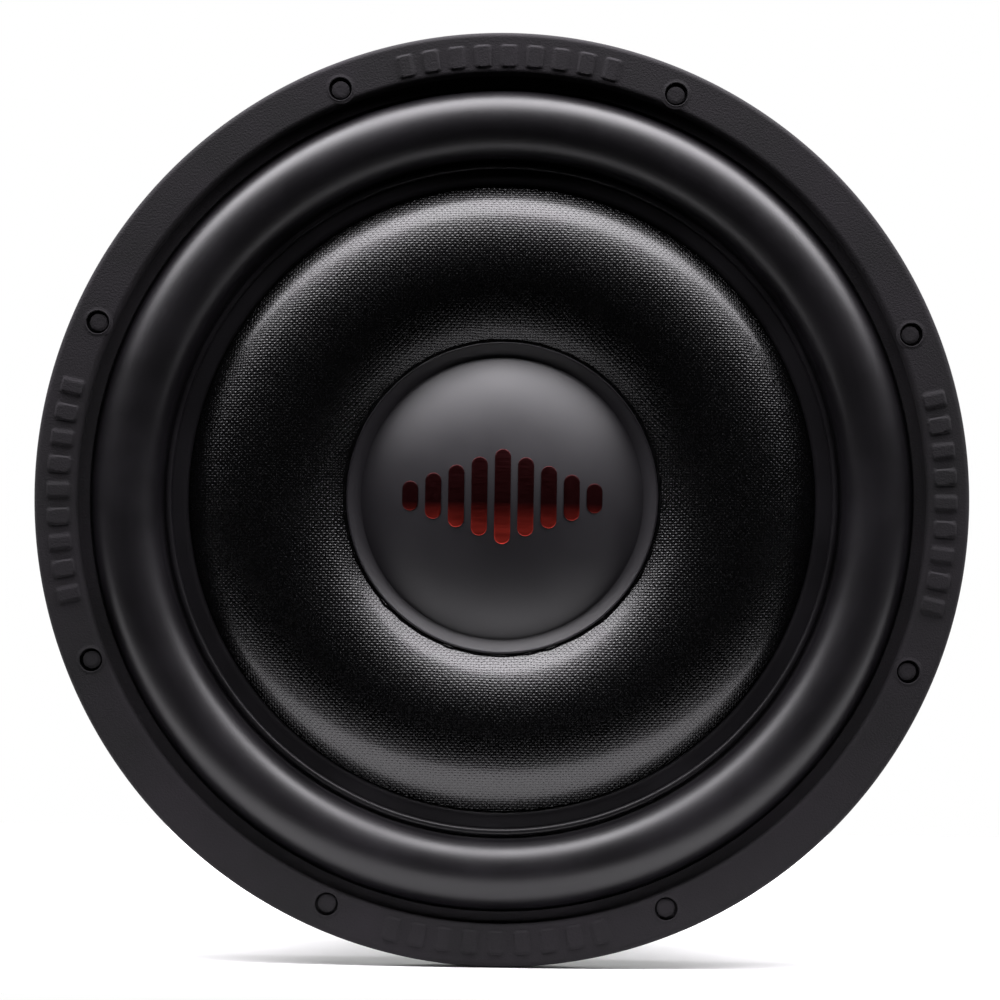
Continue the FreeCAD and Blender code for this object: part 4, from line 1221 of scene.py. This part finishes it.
        # Each wave has its number round the seam, its start in radians and its size.
        waves = [(draw.uniform(5, 60), draw.uniform(0, 6.28), draw.uniform(0.3, 1.0))
                 for _ in range(self.seam_waves)]
        count = 1080
        points, faces = [], []
        sides = 7
        for index in range(count):
            angle = 2 * math.pi * index / count
            swell = sum(size * math.sin(round(rate) * angle + start)
                        for rate, start, size in waves) / self.seam_waves
            reach = self.seam_reach + self.seam_reach_swing * swell
            height = self.seam_tall + self.seam_tall_swing * swell
            for side in range(sides):
                share = side / (sides - 1)
                radius = self.cap_radius - 0.05 * MM + reach * share
                hump = math.sin(math.pi * min(1.0, share * 0.75 + 0.25)) * height
                forward = self.surface_height(radius) + (hump if side < sides - 1 else 0.02 * MM)
                points.append((radius * math.cos(angle), -forward, radius * math.sin(angle)))
            points.append((
                (self.cap_radius + 0.3 * MM) * math.cos(angle),
                -(self.slope_height(self.cap_radius) - 0.2 * MM),
                (self.cap_radius + 0.3 * MM) * math.sin(angle),
            ))
        sides += 1
        for index in range(count):
            one, other = index * sides, ((index + 1) % count) * sides
            for side in range(sides):
                after = (side + 1) % sides
                faces.append((one + side, other + side, other + after, one + after))
        seam = mesh_object("cap_glue_seam", points, faces)
        dress(seam, Finish.GLUE)
        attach(seam, MOVING_BODY)
        return seam

    def _edge_bead(self) -> bpy.types.Object:
        """Thin bead of cement where the surround's edge lies on the cone."""
        draw = random.Random(11)
        edge = self.crest_radius + self.crown_run
        count = 720
        path = []
        for index in range(count):
            angle = 2 * math.pi * index / count
            radius = edge + 0.1 * MM + draw.uniform(-self.bead_waver, self.bead_waver)
            path.append(Vector((radius * math.cos(angle), -(self.foot + self.bead_lift),
                                radius * math.sin(angle))))
        bead = tube("edge_glue_bead", path, self.bead_size, sides=8, ring=True)
        dress(bead, Finish.GLUE)
        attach(bead, MOVING_BODY)
        return bead

    def _bars(self) -> bpy.types.Object:
        """Row of plain rounded foil bars inlaid in the dome."""
        foot = self.slope_height(self.dome_radius) + self.glue_line
        outer = self.ball + self.cap_thick
        centre = foot + self.dome_rise - self.ball
        bars = []
        for index in range(self.bar_count):
            middle = (self.bar_count - 1) / 2
            away = abs(index - middle) / middle
            tall = self.bar_shortest + (self.bar_tallest - self.bar_shortest) * (1 - away)
            bars.append(self._bar(f"bar_{index}", (index - middle) * self.bar_pitch, tall,
                                  outer, centre))
        row = joined("foil_bars", bars)
        dress(row, Finish.RED_FOIL)
        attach(row, MOVING_BODY)
        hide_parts("cap_insert")
        return row

    def _bar(self, name: str, across: float, tall: float, outer: float,
             centre: float) -> bpy.types.Object:
        """One bar, as a pill-shaped skin on the dome.

        Args:
            name: the bar's name.
            across: place of its middle.
            tall: its height.
            outer: radius of the dome's outer sphere.
            centre: forward place of the sphere's centre.

        Returns:
            The bar.
        """
        half = self.bar_width / 2
        straight = tall / 2 - half
        rows = 2 * math.ceil(tall / self.bar_step)
        columns = 10
        points, faces = [], []
        for row in range(rows + 1):
            level = -math.cos(math.pi * row / rows) * tall / 2
            over = max(0.0, abs(level) - straight)
            width = max(0.04 * half, math.sqrt(max(0.0, half * half - over * over)))
            for column in range(columns + 1):
                place = -math.cos(math.pi * column / columns) * width
                edge = half - math.hypot(place, over)
                lift = self.foil_proud - self.foil_drop * max(0.0, 1 - edge / self.foil_round) ** 2
                points.append(self._on_ball(across + place, level, outer + lift, centre))
        for row in range(rows):
            for column in range(columns):
                first = row * (columns + 1) + column
                faces.append((first, first + 1, first + columns + 2, first + columns + 1))
        loop = list(range(columns + 1))
        loop += [row * (columns + 1) + columns for row in range(1, rows + 1)]
        loop += [rows * (columns + 1) + column for column in range(columns - 1, -1, -1)]
        loop += [row * (columns + 1) for row in range(rows - 1, 0, -1)]
        skirt = len(points)
        for index in loop:
            here = Vector(points[index])
            points.append(self._on_ball(here.x, here.z, outer - 0.05 * MM, centre))
        for index, here in enumerate(loop):
            after = (index + 1) % len(loop)
            faces.append((here, skirt + index, skirt + after, loop[after]))
        return mesh_object(name, points, faces, sharp=60.0)

    @staticmethod
    def _on_ball(across: float, up: float, ball: float, centre: float) -> tuple:
        """A point of a sphere on the driver's axis.

        Args:
            across: its place along X.
            up: its place along Z.
            ball: the sphere's radius.
            centre: forward place of the sphere's centre.

        Returns:
            The point.
        """
        forward = centre + math.sqrt(ball ** 2 - across ** 2 - up ** 2)
        return (across, -forward, up)


@dataclass
class VoiceCoil:
    """Two layers of round wire on the former."""

    wire: float = 1.0 * MM
    wire_fill: float = 0.49
    turn_steps: int = 72

    def build(self) -> list[bpy.types.Object]:
        """Build the windings in place of their CAD nodes.

        Returns:
            The windings.
        """
        made = []
        for name, node in (("inner_turns", "winding_inner"), ("outer_turns", "winding_outer")):
            low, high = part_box(node)
            made.append(self._winding(name, node, low, high))
        return made

    def _winding(self, name: str, node: str, low: Vector, high: Vector) -> bpy.types.Object:
        """One layer of close-wound turns, as a helix of round wire.

        Args:
            name: the piece's name.
            node: the CAD node it stands for.
            low: the node's lowest corner.
            high: the node's highest corner.

        Returns:
            The layer.
        """
        radius = high.x - self.wire / 2
        turns = int((high.y - low.y) / self.wire) - 1
        path = []
        for index in range(turns * self.turn_steps + 1):
            angle = 2 * math.pi * index / self.turn_steps
            along = low.y + self.wire / 2 + self.wire * index / self.turn_steps
            path.append(Vector((radius * math.cos(angle), along, radius * math.sin(angle))))
        layer = tube(name, path, self.wire * self.wire_fill, sides=8)
        dress(layer, Finish.COPPER_WIRE)
        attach(layer, MOVING_BODY)
        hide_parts(node)
        return layer


@dataclass
class Spider:
    """Corrugated cloth suspension between the coil's collar and the basket's ledge."""

    name: str
    node: str
    neck: float = 3.0 * MM
    thickness: float = 0.6 * MM
    waves: int = 4
    rise: float = 1.6 * MM
    foot: float = 14.0 * MM
    collar: float = 39.4 * MM

    def build(self) -> bpy.types.Object:
        """Build the spider in place of its CAD node.

        Returns:
            The spider.
        """
        low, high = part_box(self.node)
        rim = high.x
        roll = rim - self.foot
        level = -low.y - self.rise
        start = self.collar + 2 * self.thickness
        front: Profile = [(rim, level)]
        front += run((roll, level), (start, level), 112)
        front = [(radius, level + self._wave(radius, start, roll)) for radius, _ in front]
        front += arc((start, level - self.thickness), self.thickness, 90, 180, 5)[:-1]
        front += [(self.collar, level - 2 * self.thickness), (self.collar, level - self.neck)]
        back = offset_line(front, self.thickness)
        spider = lathe(self.name, front + back[::-1], 288, sharp=70.0)
        dress(spider, Finish.SPIDER_CLOTH)
        suspend(spider)
        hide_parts(self.node)
        return spider

    def _wave(self, radius: float, start: float, roll: float) -> float:
        """Height of the corrugation at a radius.

        Args:
            radius: distance from the axis.
            start: where the waves begin.
            roll: where they end.

        Returns:
            Height over the landing.
        """
        share = (radius - start) / (roll - start)
        if share <= 0 or share >= 1:
            return 0.0
        return self.rise * math.sin(2 * math.pi * self.waves * share)


@dataclass
class Terminals:
    """Push terminals: rounded buttons, coil springs and the braided leads to the coil."""

    button_round: float = 0.7 * MM
    foot: float = 1.5 * MM
    foot_step: float = 0.7 * MM
    foot_round: float = 0.25 * MM
    stem_sink: float = 0.2 * MM
    ridge_pitch: float = 1.6 * MM
    ridge_half: float = 0.35 * MM
    ridge_deep: float = 1.0 * MM
    ridge_inset: float = 1.1 * MM
    ridge_round: float = 0.22 * MM
    spring_radius: float = 2.5 * MM
    spring_wire: float = 0.3 * MM
    spring_turns: int = 5
    travel: float = 3.0 * MM
    lead_radius: float = 1.0 * MM
    # Each point has its share of the way to the collar, and of the rise to the lead's end.
    route: tuple = ((0.0, 0.0), (0.14, 0.12), (0.32, 0.64), (0.52, 1.05), (0.72, 1.3),
                    (0.88, 1.2), (1.0, 1.0))
    route_dip: float = 1.3

    def build(self) -> list[bpy.types.Object]:
        """Build the buttons, springs and leads of both blocks.

        Returns:
            The pieces.
        """
        made = []
        for hand, sign in (("right", 1), ("left", -1)):
            for pole in ("positive", "negative"):
                label = f"{hand}_{pole}"
                finish = Finish.BUTTON_RED if pole == "positive" else Finish.BUTTON_BLACK
                made.append(self._button(label, sign, finish))
                made.append(self._spring(label))
                made.append(self._lead(label, sign))
        return made

    def _button(self, label: str, sign: int, finish: Finish) -> bpy.types.Object:
        """One push button with rounded edges and three grip ridges.

        Args:
            label: hand and pole.
            sign: +1 on the right, -1 on the left.
            finish: its finish.

        Returns:
            The button.
        """
        low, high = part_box(f"button_{label}")
        step = self.foot_step
        inner, outer = (low.x, high.x) if sign > 0 else (high.x, low.x)
        plate_low, plate_high = self._corner(inner, inner + sign * self.foot, low, high, 0.0)
        plate = rounded_box("plate", plate_low, plate_high, self.foot_round)
        stem_low, stem_high = self._corner(inner + sign * self.stem_sink,
                                           outer - sign * self.foot_round, low, high, step)
        stem = rounded_box("stem", stem_low, stem_high, self.button_round, 4)
        ridges = []
        middle = (low.y + high.y) / 2
        root = outer - sign * self.ridge_deep
        for place in (-self.ridge_pitch, 0.0, self.ridge_pitch):
            ridge_low = Vector((min(outer, root), middle + place - self.ridge_half,
                                low.z + step + self.ridge_inset))
            ridge_high = Vector((max(outer, root), middle + place + self.ridge_half,
                                 high.z - step - self.ridge_inset))
            ridges.append(rounded_box("ridge", ridge_low, ridge_high, self.ridge_round))
        button = joined(f"push_button_{label}", [plate, stem] + ridges)
        dress(button, finish)
        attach(button, f"button_{label}")
        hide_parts(f"button_{label}")
        return button

    @staticmethod
    def _corner(first: float, last: float, low: Vector, high: Vector,
                step: float) -> tuple[Vector, Vector]:
        """Corners of a box between two X places, pulled in at its sides.

        Args:
            first: one X place.
            last: the other X place.
            low: the button's lowest corner.
            high: the button's highest corner.
            step: how far the sides are pulled in along Z.

        Returns:
            The box's lowest and highest corners.
        """
        return (Vector((min(first, last), low.y, low.z + step)),
                Vector((max(first, last), high.y, high.z - step)))

    def _spring(self, label: str) -> bpy.types.Object:
        """One coil spring with closed ends.

        Args:
            label: hand and pole.

        Returns:
            The spring.
        """
        low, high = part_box(f"button_spring_{label}")
        middle = (low + high) / 2
        length = high.x - low.x - 2 * self.spring_wire
        steps = 40
        turns = self.spring_turns + 1.5
        path = []
        total = int(turns * steps)
        for index in range(total + 1):
            share = index / total
            angle = 2 * math.pi * turns * share
            rise = min(1.0, max(0.0, (share * turns - 0.75) / (turns - 1.5)))
            eased = 0.06 * share + 0.94 * rise
            path.append(Vector((low.x + self.spring_wire + eased * length,
                                middle.y + self.spring_radius * math.cos(angle),
                                middle.z + self.spring_radius * math.sin(angle))))
        spring = tube(f"coil_spring_{label}", path, self.spring_wire, sides=10)
        dress(spring, Finish.SPRING_STEEL)
        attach(spring, FRAME_BODY)
        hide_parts(f"button_spring_{label}")
        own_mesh(spring)
        return spring

    def _lead(self, label: str, sign: int) -> bpy.types.Object:
        """One braided lead from its contact strip to the collar under the cone.

        Args:
            label: hand and pole.
            sign: +1 on the right, -1 on the left.

        Returns:
            The lead.
        """
        low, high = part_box(f"tinsel_lead_{label}")
        outer, inner = (high.x, low.x) if sign > 0 else (low.x, high.x)
        place = (low.z + high.z) / 2
        start = high.y - self.lead_radius
        end = start - (start - low.y - self.lead_radius) / self.route_dip
        curve = bpy.data.curves.new("route", "CURVE")
        curve.dimensions = "3D"
        spline = curve.splines.new("NURBS")
        spline.points.add(len(self.route) - 1)
        for point, (along, up) in zip(spline.points, self.route):
            point.co = (outer + along * (inner - outer), start + up * (end - start), place, 1.0)
        spline.order_u = 3
        spline.use_endpoint_u = True
        spline.resolution_u = 16
        line = bpy.data.objects.new("route", curve)
        bpy.context.scene.collection.objects.link(line)
        bpy.context.view_layer.update()
        graph = bpy.context.evaluated_depsgraph_get()
        centre = bpy.data.meshes.new_from_object(line.evaluated_get(graph))
        path = [v.co.copy() for v in centre.vertices]
        bpy.data.objects.remove(line)
        lead = tube(f"braided_lead_{label}", path, self.lead_radius, sides=14)
        dress(lead, Finish.TINSEL)
        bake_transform(lead)
        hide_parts(f"tinsel_lead_{label}")
        return lead


@dataclass
class FramePieces:
    """The CAD pieces that keep their own shape and get a finish."""

    finishes: dict = field(default_factory=lambda: {
        "basket": Finish.POWDER_COAT,
        "spider_spacer": Finish.NYLON,
        "former_collar": Finish.KRAFT,
        "voice_coil_former": Finish.ALUMINIUM,
        "top_plate": Finish.ZINC_STEEL,
        "yoke": Finish.ZINC_STEEL,
        "magnet_front": Finish.FERRITE,
        "magnet_rear": Finish.FERRITE,
        "shorting_ring": Finish.ALUMINIUM,
        "vent_screen": Finish.BLACK_STEEL,
        "magnet_boot": Finish.BOOT_RUBBER,
        "seat_bolts": Finish.BLACK_STEEL,
        "terminal_screws": Finish.BLACK_STEEL,
    })

    def build(self, nodes: dict) -> list[bpy.types.Object]:
        """Dress the nodes.

        Args:
            nodes: the frame's node objects by name.

        Returns:
            The dressed nodes.
        """
        dressed = []
        for name, thing in nodes.items():
            finish = self.finishes.get(name)
            if name.startswith("terminal_") and finish is None:
                finish = Finish.NYLON
            if name.startswith("contact_"):
                finish = Finish.BRASS
            if finish is not None:
                dress(thing, finish)
                thing.data.shade_smooth()
                thing.data.set_sharp_from_angle(angle=math.radians(30))
                dressed.append(thing)
        return dressed


# ---------------------------------------------------------------------------
# Studio
# ---------------------------------------------------------------------------
@dataclass(frozen=True)
class Softbox:
    """Rectangular light that shines from one side only."""

    name: str
    place: tuple[float, float, float]
    aim: tuple[float, float, float]
    width: float
    height: float
    power: float
    colour: str

    def hang(self) -> None:
        """Hang the light in its place and turn it to its aim."""
        light = bpy.data.lights.new(self.name, "AREA")
        light.shape = "RECTANGLE"
        light.size, light.size_y = self.width, self.height
        light.energy = self.power
        light.color = linear(self.colour)[:3]
        thing = bpy.data.objects.new(self.name, light)
        thing.location = self.place
        facing = Vector(self.aim) - Vector(self.place)
        thing.rotation_euler = facing.to_track_quat("-Z", "Y").to_euler()
        bpy.context.scene.collection.objects.link(thing)


@dataclass
class Studio:
    """White floor, a graded softbox overhead, a light panel behind, and the camera."""

    floor_gap: float = 0.2 * MM
    floor_half: float = 1.0
    floor_front: float = 0.1
    floor_back: float = 0.7
    camera_away: float = 1.05
    camera_lift: float = -45 * MM
    camera_aside: float = -8 * MM
    camera_roll: float = 0.85
    sensor: float = 36.0
    view_width: float = 0.3377
    aim_right: float = -0.78 * MM
    aim_up: float = -1.03 * MM
    ring_edge_back: float = 2.4 * MM
    lights: tuple[Softbox, ...] = (
        Softbox("overhead_softbox", (0.0, -0.165, 0.70), (0.0, -0.165, 0.0), 2.2, 0.58, 43.0,
                "FDFAFF"),
        Softbox("overhead_core", (0.0, -0.04, 0.699), (0.0, -0.04, 0.0), 1.5, 0.36, 12.0,
                "FDFAFF"),
        Softbox("rear_panel", (0.0, 0.7, 0.44), (0.0, 0.0, 0.44), 2.0, 1.2, 26.0, "FFFFFF"),
    )

    def build(self) -> None:
        """Make the floor, the lights, the world and the camera."""
        low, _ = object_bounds()
        self._floor(low.z - self.floor_gap)
        self._world()
        for light in self.lights:
            light.hang()
        self._camera()

    def _floor(self, level: float) -> None:
        """White paper floor around the driver.

        Args:
            level: the floor's height.
        """
        corners = [(-self.floor_half, -self.floor_front, level),
                   (self.floor_half, -self.floor_front, level),
                   (self.floor_half, self.floor_back, level),
                   (-self.floor_half, self.floor_back, level)]
        floor = mesh_object("studio_floor", corners, [(0, 1, 2, 3)])
        canvas = Canvas("white_studio_paper")
        fibres = canvas.noise(120 * MM, detail=2.0)
        canvas.set(Base_Color=canvas.tint(fibres, "CCCCCC", "D0D0D0"), Roughness=0.9,
                   Specular_IOR_Level=0.1)
        floor.data.materials.append(canvas.material)
        floor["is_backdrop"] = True

    @staticmethod
    def _world() -> None:
        """White backdrop all around, which is far off and adds only a trace of light."""
        world = bpy.data.worlds.new("white_cyclorama")
        world.use_nodes = True
        tree = world.node_tree
        background = tree.nodes["Background"]
        path = tree.nodes.new("ShaderNodeLightPath")
        strength = tree.nodes.new("ShaderNodeMapRange")
        strength.inputs["To Min"].default_value = 0.004
        strength.inputs["To Max"].default_value = 1.0
        tree.links.new(path.outputs["Is Camera Ray"], strength.inputs["Value"])
        tree.links.new(strength.outputs[0], background.inputs["Strength"])
        background.inputs["Color"].default_value = linear("FFFFFF")
        bpy.context.scene.world = world

    def _camera(self) -> None:
        """Camera in front of the driver and a little below its axis, aimed up at its face."""
        lens = bpy.data.cameras.new("camera")
        lens.sensor_width = self.sensor
        lens.lens = self.sensor * self.camera_away / self.view_width
        lens.clip_start = 0.05
        widest = -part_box("gasket_ring")[0].y - self.ring_edge_back
        place = Vector((self.camera_aside, -self.camera_away - widest, self.camera_lift))
        aim = Vector((self.aim_right, -widest, self.aim_up))
        roll = Euler((0.0, 0.0, math.radians(self.camera_roll))).to_quaternion()
        thing = bpy.data.objects.new("camera", lens)
        thing.location = place
        thing.rotation_euler = ((aim - place).to_track_quat("-Z", "Y") @ roll).to_euler()
        bpy.context.scene.collection.objects.link(thing)
        bpy.context.scene.camera = thing


def main() -> None:
    """Load the frame, build and dress every piece, and set up the studio."""
    logging.basicConfig(level=logging.INFO, format="%(name)s: %(message)s")
    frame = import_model()
    view = bpy.context.scene.view_settings
    view.view_transform = "Standard"
    made = FramePieces().build(frame["nodes"])
    made.append(TrimRing().build())
    made.append(Surround().build())
    made += ConeAssembly().build()
    made += VoiceCoil().build()
    made.append(Spider("rear_spider", "spider_rear").build())
    made.append(Spider("front_spider", "spider_front").build())
    made += Terminals().build()
    Studio().build()
    for piece in made:
        LOG.info("%s: %d faces", piece.name, len(piece.data.polygons))


if __name__ == "__main__":
    main()
